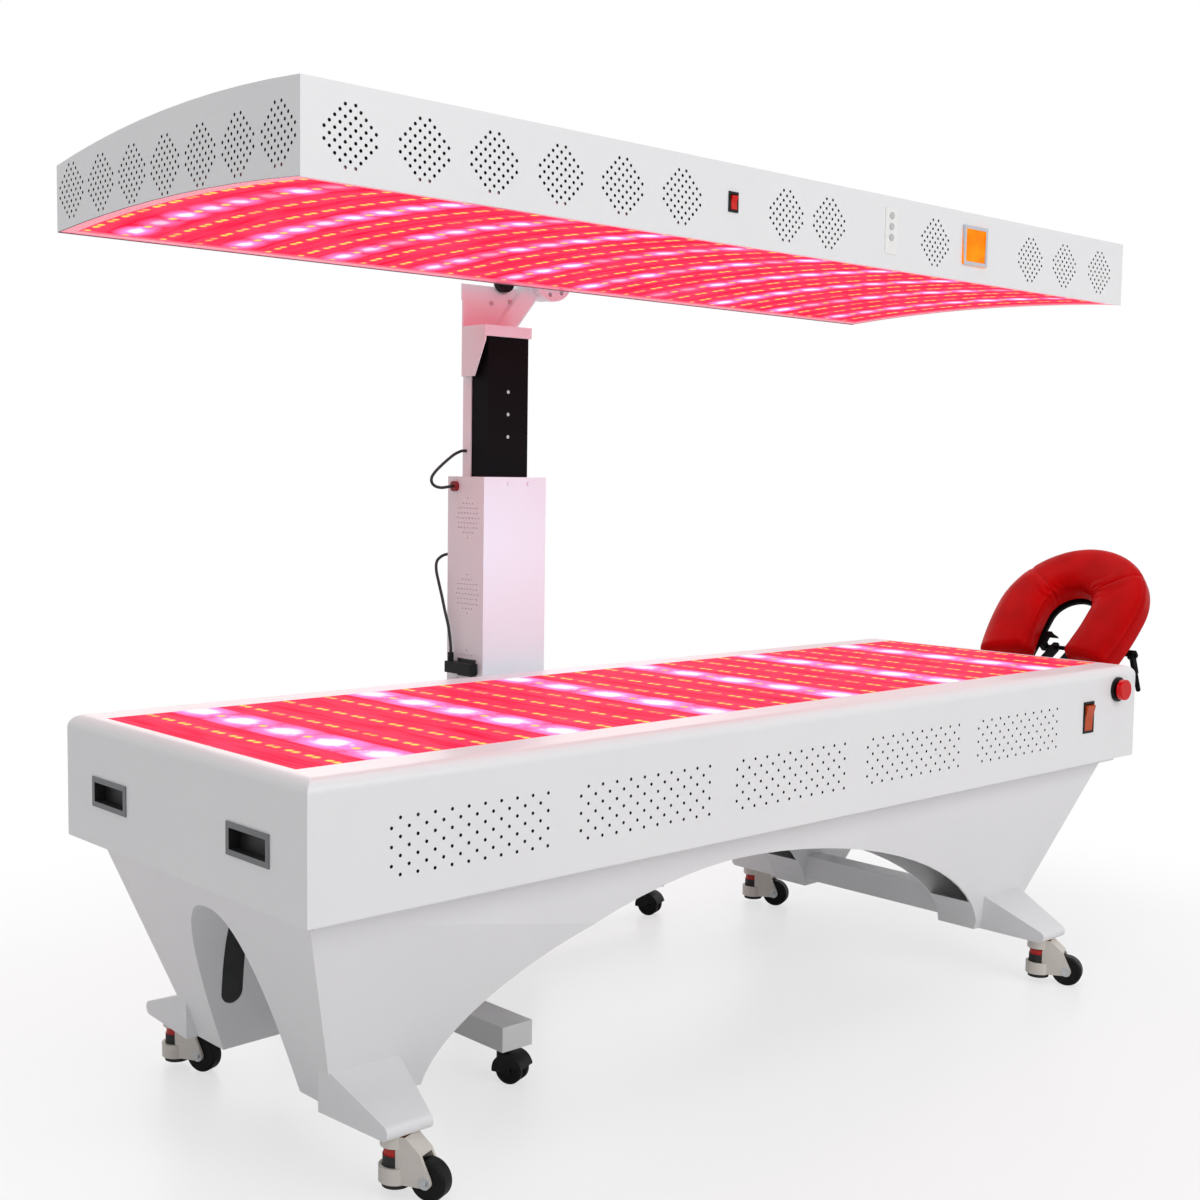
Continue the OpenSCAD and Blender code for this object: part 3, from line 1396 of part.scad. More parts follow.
module headrest_platform() {
  color([0.08, 0.08, 0.08]) on_slope() difference() {
    union() {
      translate([0, 0, platform_n]) linear_extrude(platform_t) platform_outline();
      for (s = [-1, 1])
        translate([s * (ear_y + ear_t / 2), 0, 0]) {
          x_rod(11, ear_t, [0, 0, 0]);
          translate([-ear_t / 2, -11, 0]) cube([ear_t, 22, platform_n + 1]);
        }
    }
    x_rod(tilt_rod_d / 2 + run_clear, cushion_w, [0, 0, 0]);
  }
}

// The cushion is one padded ring, open at its foot end. Its middle line runs down one side,
// round the top and down the other side, and every cross-section has a crowned top, full
// sides and a flat back.
leg_drop = ring_top + cushion_low;
toe_in = 18;
cushion_steps = 40;
section_steps = 26;
cushion_n = platform_n + platform_t + seam;
path_total = 2 * leg_drop + PI * ring_mid;

function ring_angle(s) = (s * path_total - leg_drop) / ring_mid * 180 / PI;
function ring_place(s) =
  let (d = s * path_total, e = path_total - d)
  d < leg_drop ? [ring_mid - toe_in * pow(1 - d / leg_drop, 2), ring_top - leg_drop + d]
  : e < leg_drop ? [-ring_mid + toe_in * pow(1 - e / leg_drop, 2), ring_top - leg_drop + e]
  : [ring_mid * cos(ring_angle(s)), ring_top + ring_mid * sin(ring_angle(s))];
function ring_out(s) =
  let (a = ring_place(max(s - 0.01, 0)), b = ring_place(min(s + 0.01, 1)), t = unit(b - a))
  [t[1], -t[0]];
// Rounded section: squarish at the back, crowned at the top; q is an angle round it
function section_point(q, taper) =
  let (w = ring_w / 2 * taper, h = cushion_t / 2 * taper, p = sin(q) > 0 ? 2 / 3 : 2 / 6)
  [w * sign(cos(q)) * pow(abs(cos(q)), p), h * sign(sin(q)) * pow(abs(sin(q)), p) + h];
function end_taper(s) =
  let (d = min(s, 1 - s) * path_total) d > 18 ? 1 : 0.72 + 0.28 * sqrt(1 - pow(1 - d / 18, 2));
function row_at(i) = i / (cushion_steps - 1);

module headrest_cushion() {
  rows = cushion_steps;
  cols = section_steps;
  points = [for (i = [0:rows - 1], k = [0:cols - 1])
    let (s = row_at(i), c = ring_place(s), o = ring_out(s), q = 360 * (k + 0.5) / cols,
         f = section_point(q, end_taper(s)))
      [c[0] + o[0] * f[0], c[1] + o[1] * f[0], cushion_n + f[1]]];
  last = (rows - 1) * cols;
  faces = concat(
    [for (k = [1:cols - 2]) [0, k + 1, k]],
    [for (i = [0:rows - 2], k = [0:cols - 1], h = [0, 1])
      let (a = i * cols + k, b = i * cols + (k + 1) % cols, c = a + cols, d = b + cols)
        h == 0 ? [a, b, d] : [a, d, c]],
    [for (k = [1:cols - 2]) [last, last + k, last + k + 1]]);
  color("red") on_slope() polyhedron(points, faces, convexity = 6);
}

lever_hub_r = 11;
lever_lean = 22;

module headrest_lever() {
  color([0.06, 0.06, 0.06]) translate(tilt_at + [0, -lever_y, 0]) difference() {
    union() {
      y_rod(lever_hub_r, 14, [0, 0, 0]);
      rotate([0, -lever_lean, 0]) {
        translate([0, 0, -26]) cube([14, 9, 44], center = true);
        translate([0, 0, -lever_l]) cylinder(r = 5.5, h = lever_l - 30, $fn = 32);
        translate([0, 0, -lever_l]) sphere(5.5, $fn = 32);
      }
    }
    y_rod(tilt_rod_d / 2 + run_clear, 20, [0, 0, 0]);
  }
}

bed_casing();
bed_glass();
bed_led_board();
bed_power_supplies();
leg_frame();
slot_liners();
cross_beams();
outrigger_feet();
recessed_handles();
bed_control_bezels();
bed_rocker();
stop_button();
base_beams();
column_sleeve();
cable_fittings();
power_plug();
power_cable();
actuator_housing();
actuator_rod();
inner_column();
column_carriage();
column_screws();
lock_knob();
diagonal_arm();
canopy_cable();
hinge_pin();
canopy_flange();
canopy_shell();
canopy_frame();
canopy_glass();
canopy_led_board();
canopy_switch_bezel();
canopy_rocker();
keypad_plate();
keypad_button(0);  // keypad_button_1
keypad_button(1);  // keypad_button_2
keypad_button(2);  // keypad_button_3
display_unit();
headrest_posts();
headrest_platform();
headrest_cushion();
headrest_lever();
at_caster(0) caster_fork();  // caster_1_fork
at_caster(0) caster_wheel();  // caster_1_wheel
at_caster(0) caster_pad();  // caster_1_pad
at_caster(1) caster_fork();  // caster_2_fork
at_caster(1) caster_wheel();  // caster_2_wheel
at_caster(1) caster_pad();  // caster_2_pad
at_caster(2) caster_fork();  // caster_3_fork
at_caster(2) caster_wheel();  // caster_3_wheel
at_caster(2) caster_pad();  // caster_3_pad
at_caster(3) caster_fork();  // caster_4_fork
at_caster(3) caster_wheel();  // caster_4_wheel
at_caster(3) caster_pad();  // caster_4_pad
at_twin(0) twin_hood();  // twin_1_hood
at_twin(0) twin_wheels();  // twin_1_wheels
at_twin(1) twin_hood();  // twin_2_hood
at_twin(1) twin_wheels();  // twin_2_wheels
at_twin(2) twin_hood();  // twin_3_hood
at_twin(2) twin_wheels();  // twin_3_wheels
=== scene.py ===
"""Looks of the red light therapy bed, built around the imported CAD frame. Everything is in metres."""
import math

import bpy
from mathutils import Matrix, Vector


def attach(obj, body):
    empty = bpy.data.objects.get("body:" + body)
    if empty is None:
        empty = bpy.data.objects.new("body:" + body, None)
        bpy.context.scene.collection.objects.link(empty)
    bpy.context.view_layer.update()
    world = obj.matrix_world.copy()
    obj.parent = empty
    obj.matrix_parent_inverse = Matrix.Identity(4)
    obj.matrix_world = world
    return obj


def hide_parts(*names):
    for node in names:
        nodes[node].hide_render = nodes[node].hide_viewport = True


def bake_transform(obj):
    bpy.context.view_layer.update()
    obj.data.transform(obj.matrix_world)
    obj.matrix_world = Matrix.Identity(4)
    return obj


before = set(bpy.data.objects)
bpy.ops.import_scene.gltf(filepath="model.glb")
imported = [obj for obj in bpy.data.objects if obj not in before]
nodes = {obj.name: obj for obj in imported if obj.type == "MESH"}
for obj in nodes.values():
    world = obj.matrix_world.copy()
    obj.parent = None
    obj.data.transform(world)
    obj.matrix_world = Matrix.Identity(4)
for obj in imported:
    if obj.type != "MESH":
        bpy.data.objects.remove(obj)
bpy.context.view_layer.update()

MM = 0.001


# Camera

def aimed(position, yaw, pitch, roll):
    """World matrix of a camera; yaw turns from +Y towards +X, pitch is up, roll turns right over up."""
    y, p, r = (math.radians(a) for a in (yaw, pitch, roll))
    ahead = Vector((math.sin(y) * math.cos(p), math.cos(y) * math.cos(p), math.sin(p)))
    level = Vector((math.cos(y), -math.sin(y), 0))
    upright = level.cross(ahead)
    right = level * math.cos(r) + upright * math.sin(r)
    up = upright * math.cos(r) - level * math.sin(r)
    turn = Matrix((right, up, -ahead)).transposed()
    return Matrix.Translation(position) @ turn.to_4x4()


CAMERA_AT = (-2.0529, -2.0046, 0.9645)
CAMERA_YAW, CAMERA_PITCH, CAMERA_ROLL = 42.73, -4.56, 0.82
SENSOR_MM = 36
LENS_MM = 47.94
SEES_TO = 200

camera_data = bpy.data.cameras.new("camera")
camera_data.sensor_width = SENSOR_MM
camera_data.lens = LENS_MM
camera_data.clip_end = SEES_TO
camera = bpy.data.objects.new("camera", camera_data)
bpy.context.scene.collection.objects.link(camera)
camera.matrix_world = aimed(CAMERA_AT, CAMERA_YAW, CAMERA_PITCH, CAMERA_ROLL)
bpy.context.scene.camera = camera
bpy.context.scene.view_settings.view_transform = "Standard"


# Node helpers

class Sheet:
    """A material with its node tree, and short calls that add nodes to it."""

    def __init__(self, name, **sockets):
        self.material = bpy.data.materials.new(name)
        self.material.use_nodes = True
        self.tree = self.material.node_tree
        self.shader = self.tree.nodes["Principled BSDF"]
        self.place = self.tree.nodes.new("ShaderNodeTexCoord").outputs["Object"]
        for key, value in sockets.items():
            self.shader.inputs[key.replace("_", " ")].default_value = value

    def put(self, value, socket):
        if isinstance(value, (int, float, tuple)):
            socket.default_value = value
        else:
            self.tree.links.new(value, socket)

    def math(self, kind, *values, clamp=False):
        node = self.tree.nodes.new("ShaderNodeMath")
        node.operation = kind
        node.use_clamp = clamp
        for k, value in enumerate(values):
            self.put(value, node.inputs[k])
        return node.outputs[0]

    def ramp(self, value, low, high, to_low=0.0, to_high=1.0):
        node = self.tree.nodes.new("ShaderNodeMapRange")
        node.interpolation_type = "SMOOTHSTEP"
        for key, v in (("Value", value), ("From Min", low), ("From Max", high),
                       ("To Min", to_low), ("To Max", to_high)):
            self.put(v, node.inputs[key])
        return node.outputs[0]

    def noise(self, scale, detail=2.0, stretch=(1, 1, 1), rough=0.5):
        node = self.tree.nodes.new("ShaderNodeTexNoise")
        node.inputs["Scale"].default_value = scale
        node.inputs["Detail"].default_value = detail
        node.inputs["Roughness"].default_value = rough
        self.put(self.stretched(stretch), node.inputs["Vector"])
        return node.outputs["Fac"]

    def stretched(self, stretch):
        if stretch == (1, 1, 1):
            return self.place
        node = self.tree.nodes.new("ShaderNodeMapping")
        node.inputs["Scale"].default_value = stretch
        self.put(self.place, node.inputs["Vector"])
        return node.outputs[0]

    def cells(self, scale, feature="F1"):
        node = self.tree.nodes.new("ShaderNodeTexVoronoi")
        node.feature = feature
        node.inputs["Scale"].default_value = scale
        self.put(self.place, node.inputs["Vector"])
        return node.outputs["Distance"]

    def mix(self, share, a, b, blend="MIX"):
        node = self.tree.nodes.new("ShaderNodeMix")
        node.data_type = "RGBA"
        node.blend_type = blend
        self.put(share, node.inputs[0])
        self.put(a, node.inputs[6])
        self.put(b, node.inputs[7])
        return node.outputs[2]

    def axes(self):
        node = self.tree.nodes.new("ShaderNodeSeparateXYZ")
        self.put(self.place, node.inputs[0])
        return node.outputs

    def bump(self, height, distance, strength=1.0):
        node = self.tree.nodes.new("ShaderNodeBump")
        node.inputs["Distance"].default_value = distance
        node.inputs["Strength"].default_value = strength
        self.put(height, node.inputs["Height"])
        self.put(node.outputs[0], self.shader.inputs["Normal"])

    def set(self, socket, value):
        self.put(value, self.shader.inputs[socket])
        return self


def shade(value):
    """Linear colour of an sRGB one written as a hex number."""
    parts = [(value >> s & 255) / 255 for s in (16, 8, 0)]
    line = [c / 12.92 if c < 0.04045 else ((c + 0.055) / 1.055) ** 2.4 for c in parts]
    return (*line, 1.0)


def finish_of(name, colour, other, rough, grain, grain_depth, patch=6.0, **sockets):
    """A surface whose colour drifts between two tones, with a fine grain in gloss and height."""
    s = Sheet(name, **sockets)
    s.set("Base Color", s.mix(s.noise(patch, 3), shade(colour), shade(other)))
    fine = s.noise(grain, 3)
    s.set("Roughness", s.ramp(fine, 0.3, 0.7, rough[0], rough[1]))
    s.bump(fine, grain_depth)
    return s.material


# Materials

white_paint = finish_of("white_paint", 0xEFEFF0, 0xEAEAEC, (0.30, 0.38), 900, 0.00003)
# The frame paint is the casing white made a little darker: painted shade on the frame under the casing
frame_paint = finish_of("frame_paint", 0xE9E9EA, 0xE4E4E6, (0.34, 0.42), 900, 0.00003)
# The stand paint's faint pink tint is painted pink light from the lamps
stand_paint_painted_pink_light = finish_of("stand_paint_painted_pink_light", 0xEFEAEC, 0xEBE5E8, (0.30, 0.38), 900, 0.00003)
base_paint = finish_of("base_paint", 0xD6D5D6, 0xD0CFD0, (0.34, 0.42), 900, 0.00003)
black_paint = finish_of("black_paint", 0x100E0F, 0x0A090A, (0.5, 0.62), 1400, 0.00004,
                        Specular_IOR_Level=0.07)
black_plastic = finish_of("black_plastic", 0x141416, 0x0D0D0F, (0.35, 0.50), 1500, 0.00005, patch=20,
                          Specular_IOR_Level=0.2)
grey_plastic = finish_of("grey_plastic", 0x77797B, 0x6C6E70, (0.32, 0.46), 1500, 0.00005, patch=20)
cup_plastic = finish_of("cup_plastic", 0x1E1F21, 0x161718, (0.40, 0.55), 1500, 0.00005, patch=20)
fork_cast = finish_of("fork_cast", 0xD9D3CC, 0xCDC6BE, (0.36, 0.50), 700, 0.00012, patch=40)
wheel_black = finish_of("wheel_black", 0x101011, 0x0A0A0B, (0.38, 0.52), 1100, 0.00006, patch=50,
                        Specular_IOR_Level=0.16)
pad_black = finish_of("pad_black", 0x161616, 0x0E0E0E, (0.55, 0.75), 900, 0.0001, patch=50)
dial_red = finish_of("dial_red", 0xC4120C, 0xA60E09, (0.35, 0.50), 1200, 0.00006, patch=60)
cord_black = finish_of("cord_black", 0x141414, 0x0E0E0E, (0.45, 0.60), 1600, 0.00005, patch=80)
gland_red = finish_of("gland_red", 0x8E1116, 0x7C0C11, (0.35, 0.5), 1200, 0.00005, patch=60)
fittings_dark = finish_of("fittings_dark", 0x1B1A1C, 0x131214, (0.4, 0.55), 1500, 0.00005, patch=40)
keypad_skin = finish_of("keypad_skin", 0xF4F3F1, 0xEEEDEB, (0.42, 0.52), 1200, 0.00003, patch=20)
display_frame = finish_of("display_frame", 0xC9CFD8, 0xBDC4CE, (0.35, 0.48), 1500, 0.00004, patch=20)
lamp_board = finish_of("lamp_board", 0xE8E6E2, 0xDEDCD8, (0.45, 0.6), 800, 0.00004)
# Painted shade: dark grey for the insides of the casing and shell and the walls of their holes
painted_shade_inside = finish_of("painted_shade_inside", 0x232326, 0x1A1A1D, (0.6, 0.8), 500, 0.0001, patch=20)


def metal(name, colour, other, rough, stretch=(1, 1, 12)):
    s = Sheet(name, Metallic=1.0)
    brushed = s.noise(260, 4, stretch)
    s.set("Base Color", s.mix(brushed, shade(colour), shade(other)))
    s.set("Roughness", s.ramp(brushed, 0.3, 0.7, rough[0], rough[1]))
    s.bump(brushed, 0.00003)
    return s.material


steel = metal("steel", 0xC9CACC, 0xAFB1B4, (0.22, 0.36))
bronze = metal("bronze", 0xB0702A, 0x8E5519, (0.28, 0.42))


def glossy_plastic(name, colour, other, glow=0.0):
    s = Sheet(name, Coat_Weight=0.12, Coat_Roughness=0.04, Specular_IOR_Level=0.2)
    drift = s.noise(60, 2)
    s.set("Base Color", s.mix(drift, shade(colour), shade(other)))
    s.set("Roughness", s.ramp(s.noise(900, 2), 0.3, 0.7, 0.14, 0.22))
    if glow:
        s.set("Emission Color", s.mix(drift, shade(colour), shade(other)))
        s.shader.inputs["Emission Strength"].default_value = glow
    return s.material


# The stop button's weak emission is a painted glow
stop_red = glossy_plastic("stop_red", 0xD2060A, 0xBE0408, 0.12)
amber_rocker = glossy_plastic("amber_rocker", 0xC0440A, 0xA83A08, 0.1)
red_rocker = glossy_plastic("red_rocker", 0xD81A12, 0xBE120C, 0.12)


def painted_glow_plastic(name, colour, other, glow):
    """Pale translucent plastic with a painted glow that stands in for the lamps' light at its edge."""
    s = Sheet(name, Roughness=0.25, Coat_Weight=0.3, Emission_Strength=glow)
    drift = s.noise(9, 3)
    tone = s.mix(drift, shade(colour), shade(other))
    s.set("Base Color", tone)
    s.set("Emission Color", tone)
    return s.material


# The canopy frame's glow is painted light
frame_rim = painted_glow_plastic("frame_rim", 0xFF8FA8, 0xFF7A96, 0.3)


AMBER_STEP = 0.05
AMBER_PAIR = 0.0085
DASH_R = (0.0052, 0.0072)
LONE_R = (0.0060, 0.0080)
WHITE_STEP = 2.45
WHITE_LONG = 1.5
BLOOM_TO = 3.8
SKIN_DARK = (0.02, 0.0, 0.0, 1.0)


def lamp_panel(name, gloss, first, row_step, rows, bright_every, bright_first, core, spread,
               faint):
    """A lit panel: rows of small amber lamps, and rows of wide white ones that bloom."""
    s = Sheet(name, Roughness=gloss, IOR=1.35, Specular_IOR_Level=0.001)
    x, y, _ = s.axes()
    m = s.math
    row = m("DIVIDE", m("SUBTRACT", x, first), row_step)
    index = m("ROUND", row)
    off_row = m("MULTIPLY", m("SUBTRACT", row, index), row_step)
    in_rows = m("MULTIPLY", m("GREATER_THAN", index, -0.5), m("LESS_THAN", index, rows - 0.5))
    phase = m("FLOORED_MODULO", m("SUBTRACT", index, bright_first), bright_every)
    bright = m("MULTIPLY", m("LESS_THAN", phase, 0.5), in_rows)
    plain = m("MULTIPLY", m("SUBTRACT", 1.0, bright), in_rows)

    def column(step, shift=0.0):
        place = m("DIVIDE", m("SUBTRACT", y, shift), step)
        at = m("ROUND", place)
        return at, m("MULTIPLY", m("SUBTRACT", place, at), step)

    def chance(at, salt):
        pair = s.tree.nodes.new("ShaderNodeCombineXYZ")
        s.put(index, pair.inputs[0])
        s.put(at, pair.inputs[1])
        pair.inputs[2].default_value = salt
        node = s.tree.nodes.new("ShaderNodeTexWhiteNoise")
        node.noise_dimensions = "3D"
        s.put(pair.outputs[0], node.inputs["Vector"])
        return node.outputs["Value"]

    def spot(dx, dy, rx, ry, soft):
        """1 inside an ellipse, falling to 0 over its soft edge."""
        far = m("SQRT", m("ADD", m("POWER", m("ABSOLUTE", m("DIVIDE", dx, rx)), 2.0),
                          m("POWER", m("ABSOLUTE", m("DIVIDE", dy, ry)), 2.0)))
        return s.ramp(far, 1.0 - soft, 1.0 + soft, 1.0, 0.0), far

    # Amber lamps, in pairs of short dashes
    at, dy = column(AMBER_STEP)
    pair_gap = m("SUBTRACT", m("ABSOLUTE", dy), AMBER_PAIR)
    dash, _ = spot(off_row, pair_gap, *DASH_R, 0.45)
    lit = s.ramp(chance(at, 3.0), 0.05, 0.5, 0.4, 1.0)
    amber = m("MULTIPLY", m("MULTIPLY", dash, plain), lit)
    # A lone amber lamp between each two white ones
    step = spread * WHITE_STEP
    _, dy2 = column(step, step / 2)
    lone, _ = spot(off_row, dy2, *LONE_R, 0.4)
    amber = m("ADD", amber, m("MULTIPLY", lone, bright), clamp=True)
    # White lamps in small groups that bloom
    at3, dy3 = column(step)
    ragged = s.noise(70, 2)
    drawn = m("MULTIPLY", dy3, s.ramp(ragged, 0.3, 0.7, 0.75, 1.3))
    heart, far = spot(off_row, drawn, core, core * WHITE_LONG, 0.4)
    power = s.ramp(chance(at3, 8.0), 0.0, 0.8, faint, 1.0)
    white = m("MULTIPLY", m("MULTIPLY", heart, bright), power)
    halo = m("POWER", s.ramp(far, 0.6, BLOOM_TO, 1.0, 0.0), 1.3)
    halo = m("MULTIPLY", m("MULTIPLY", halo, bright), power)
    # Soft lanes of the reflector under the lamps
    lanes = s.noise(22, 3, (4.5, 0.35, 1))
    base = s.mix(s.ramp(lanes, 0.3, 0.7), shade(0xF01A42), shade(0xFF3D62))
    near_row = s.ramp(m("ABSOLUTE", off_row), 0.0, row_step / 2, 1.0, 0.0)
    base = s.mix(m("MULTIPLY", near_row, 0.3), base, shade(0xFF5E78))
    tone = s.mix(halo, base, shade(0xFF9AF0))
    tone = s.mix(amber, tone, shade(0xFFD964))
    tone = s.mix(white, tone, (1.0, 0.97, 1.0, 1.0))
    s.set("Base Color", s.mix(0.75, tone, SKIN_DARK))
    s.set("Emission Color", tone)
    s.shader.inputs["Emission Strength"].default_value = 1.0
    return s.material


bed_panel = lamp_panel(
    "bed_panel", gloss=0.3, first=-0.903, row_step=0.0805, rows=24,
    bright_every=4, bright_first=1, core=0.0215, spread=0.050, faint=0.8)
canopy_panel = lamp_panel(
    "canopy_panel", gloss=0.55, first=-0.912, row_step=0.0655, rows=30,
    bright_every=3, bright_first=1, core=0.0115, spread=0.033, faint=0.2)


def red_leather():
    s = Sheet("red_leather", Specular_IOR_Level=0.045)
    drift = s.noise(11, 4)
    tone = s.mix(s.ramp(drift, 0.3, 0.7), shade(0xCC0406), shade(0xB60304))
    pore = s.cells(420, "F1")
    crease = s.cells(300, "DISTANCE_TO_EDGE")
    groove = s.ramp(crease, 0.0, 0.12)
    # Painted shade: the creases of the grain are darkened
    tone = s.mix(s.ramp(groove, 0.0, 1.0, 0.35, 0.0), tone, shade(0x6A0305))
    s.set("Base Color", tone)
    s.set("Roughness", s.ramp(drift, 0.3, 0.7, 0.34, 0.44))
    height = s.math("ADD", s.math("MULTIPLY", groove, 0.8), s.math("MULTIPLY", pore, 0.2))
    s.bump(height, 0.00012)
    return s.material


leather = red_leather()


def orange_screen():
    s = Sheet("orange_screen", Roughness=0.2, Specular_IOR_Level=0.05)
    drift = s.noise(28, 3)
    tone = s.mix(s.ramp(drift, 0.3, 0.7), shade(0xF57A02), shade(0xFF8E08))
    s.set("Base Color", s.mix(0.6, tone, (0.02, 0.01, 0.0, 1.0)))
    s.set("Emission Color", tone)
    s.shader.inputs["Emission Strength"].default_value = 0.85
    return s.material


screen = orange_screen()
screen_mark = glossy_plastic("screen_mark", 0xFFEA4E, 0xFFDE3A, 1.0)


# CAD nodes and their finishes

def paint(name, material, *others):
    """Gives a CAD node its material; others are (test of a face's centre, material)."""
    mesh = nodes[name].data
    mesh.materials.clear()
    mesh.materials.append(material)
    for test, other in others:
        mesh.materials.append(other)
    for face in mesh.polygons:
        face.material_index = 0
        for k, (test, _) in enumerate(others):
            if test(face.center):
                face.material_index = k + 1


for material, names in (
    (frame_paint, "leg_frame outrigger_feet cross_beams"),
    (stand_paint_painted_pink_light, "column_sleeve column_carriage diagonal_arm canopy_flange"),
    (base_paint, "base_beams"),
    (black_paint, "inner_column headrest_posts headrest_platform headrest_lever"),
    (black_plastic, "lock_knob bed_control_bezels canopy_switch_bezel power_plug"),
    (steel, "hinge_pin column_screws actuator_housing actuator_rod bed_power_supplies"),
    (lamp_board, "bed_led_board canopy_led_board"),
    (cup_plastic, "slot_liners"),
    (stop_red, "stop_button"),
    (amber_rocker, "bed_rocker"),
    (red_rocker, "canopy_rocker"),
    (frame_rim, "canopy_frame"),
    (bed_panel, "bed_glass"),
    (canopy_panel, "canopy_glass"),
    (keypad_skin, "keypad_plate"),
    (steel, "keypad_button_1 keypad_button_2 keypad_button_3"),
):
    for name in names.split():
        paint(name, material)

BED_END = 1.0
BED_SIDE = 0.340
WALL = 0.003
NEAR = 0.0003
CANOPY_X, CANOPY_Y = 0.05, 0.11
CANOPY_HALF_L, CANOPY_HALF_W = 1.0, 0.355
CANOPY_FRONT = CANOPY_Y - CANOPY_HALF_W


def inside_bed(c):
    """True for the casing's inner faces and the walls of its holes, which get painted shade."""
    return (abs(c.y) < BED_SIDE - NEAR and abs(c.x) < BED_END - WALL + 0.0005
            and 0.3965 < c.z < 0.561)


def inside_canopy(c):
    """True for the shell's inner faces and the walls of its holes, which get painted shade."""
    off_x, off_y = abs(c.x - CANOPY_X), abs(c.y - CANOPY_Y)
    if off_y < CANOPY_HALF_W - 0.0015 and off_x < CANOPY_HALF_L - 0.0015:
        return c.z < 1.43
    in_front_or_end = CANOPY_FRONT + NEAR < c.y < 0.46 and off_x < CANOPY_HALF_L - NEAR
    return in_front_or_end and 1.332 < c.z < 1.4345


# The insides and hole walls of the casing and shell get painted shade
paint("bed_casing", white_paint, (inside_bed, painted_shade_inside))
paint("canopy_shell", white_paint, (inside_canopy, painted_shade_inside))
paint("recessed_handles", grey_plastic, (lambda c: abs(c.x) < BED_END - 0.0025, cup_plastic))
paint("cable_fittings", gland_red, (lambda c: c.z < 0.65, fittings_dark))
paint("display_unit", display_frame, (lambda c: c.y > CANOPY_FRONT - 0.003, screen))

FORK_TOP = 0.083
DIAL_LOW = 0.050
STEMS = ((-0.838, -0.303), (0.624, -0.368), (-0.838, 0.303), (0.624, 0.368))
TRAIL = math.radians(21.8)
FORK_SIDE = 0.0166


def on_bolt(centre, stem):
    """True for the faces of the two bolt heads outside a caster's fork."""
    x, y = centre.x - stem[0], centre.y - stem[1]
    outwards = x * math.cos(TRAIL) + y * math.sin(TRAIL)
    behind = x * math.sin(TRAIL) - y * math.cos(TRAIL)
    return abs(outwards) > FORK_SIDE + 0.0006 and behind > 0.040


for k, stem in enumerate(STEMS, 1):
    paint(f"caster_{k}_fork", fork_cast, (lambda c: c.z > FORK_TOP + 0.0002, bronze),
          (lambda c: on_bolt(c, stem), steel))
    paint(f"caster_{k}_wheel", wheel_black)
    paint(f"caster_{k}_pad", pad_black, (lambda c: c.z > DIAL_LOW, dial_red))
for k in range(1, 4):
    paint(f"twin_{k}_hood", black_plastic)
    paint(f"twin_{k}_wheels", wheel_black)


# Mesh helpers

def piece(name, points, faces, material, body, slot=None, smooth=True):
    mesh = bpy.data.meshes.new(name)
    mesh.from_pydata([tuple(p) for p in points], [], faces)
    mesh.materials.append(material)
    mesh.polygons.foreach_set("use_smooth", [smooth] * len(mesh.polygons))
    mesh.update()
    made = bpy.data.objects.new(name, mesh)
    bpy.context.scene.collection.objects.link(made)
    if body:
        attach(made, body)
    return made


def lofted(rings, closed=False, caps=True):
    """Points and faces of a skin over rings of equal length."""
    width = len(rings[0])
    points = [p for ring in rings for p in ring]
    faces = []
    count = len(rings)
    for i in range(count if closed else count - 1):
        for k in range(width):
            a, b = i * width + k, i * width + (k + 1) % width
            c, d = (i + 1) % count * width + k, (i + 1) % count * width + (k + 1) % width
            faces.append((a, b, d, c))
    if caps and not closed:
        faces.append(tuple(reversed(range(width))))
        faces.append(tuple(range((count - 1) * width, count * width)))
    return points, faces


def curve_points(route, steps):
    """Points along a Catmull-Rom curve through the route."""
    out = []
    for i in range(len(route) - 1):
        a, b = route[max(i - 1, 0)], route[i]
        c, d = route[i + 1], route[min(i + 2, len(route) - 1)]
        for k in range(steps):
            t = k / steps
            out.append(0.5 * (2 * b + (c - a) * t + (2 * a - 5 * b + 4 * c - d) * t * t
                              + (3 * b - a - 3 * c + d) * t ** 3))
    return out + [route[-1]]


def tube(path, radius, sides=20):
    """Rings of a round tube; radius is a number or a call on the share of the way along."""
    rings = []
    side = None
    for i, p in enumerate(path):
        ahead = (path[min(i + 1, len(path) - 1)] - path[max(i - 1, 0)]).normalized()
        if side is None:
            side = ahead.orthogonal().normalized()
        side = (side - side.dot(ahead) * ahead).normalized()
        other = ahead.cross(side)
        r = radius(i / (len(path) - 1)) if callable(radius) else radius
        rings.append([p + r * (math.cos(a) * side + math.sin(a) * other)
                      for a in (2 * math.pi * k / sides for k in range(sides))])
    return rings


# Marks on the display: a plain number over a short scale

SCREEN_AT = Vector((0.512, -0.2462, 1.396))
SEGMENTS = {"a": (0, 2, 1), "b": (1, 1, 0), "c": (1, 0, 0), "d": (0, 0, 1), "e": (0, 0, 0),
            "f": (0, 1, 0), "g": (0, 1, 1)}
DIGITS = {"2": "abged", "0": "abcdef"}


def bar(points, faces, x, z, w, h):
    start = len(points)
    for dy in (0.0, -0.0004):
        points.extend(SCREEN_AT + Vector((x + i * w, dy, z + j * h))
                      for i, j in ((0, 0), (1, 0), (1, 1), (0, 1)))
    a = start
    faces.extend([(a + 4, a + 5, a + 6, a + 7), (a, a + 3, a + 2, a + 1),
                  (a, a + 1, a + 5, a + 4), (a + 1, a + 2, a + 6, a + 5),
                  (a + 2, a + 3, a + 7, a + 6), (a + 3, a, a + 4, a + 7)])


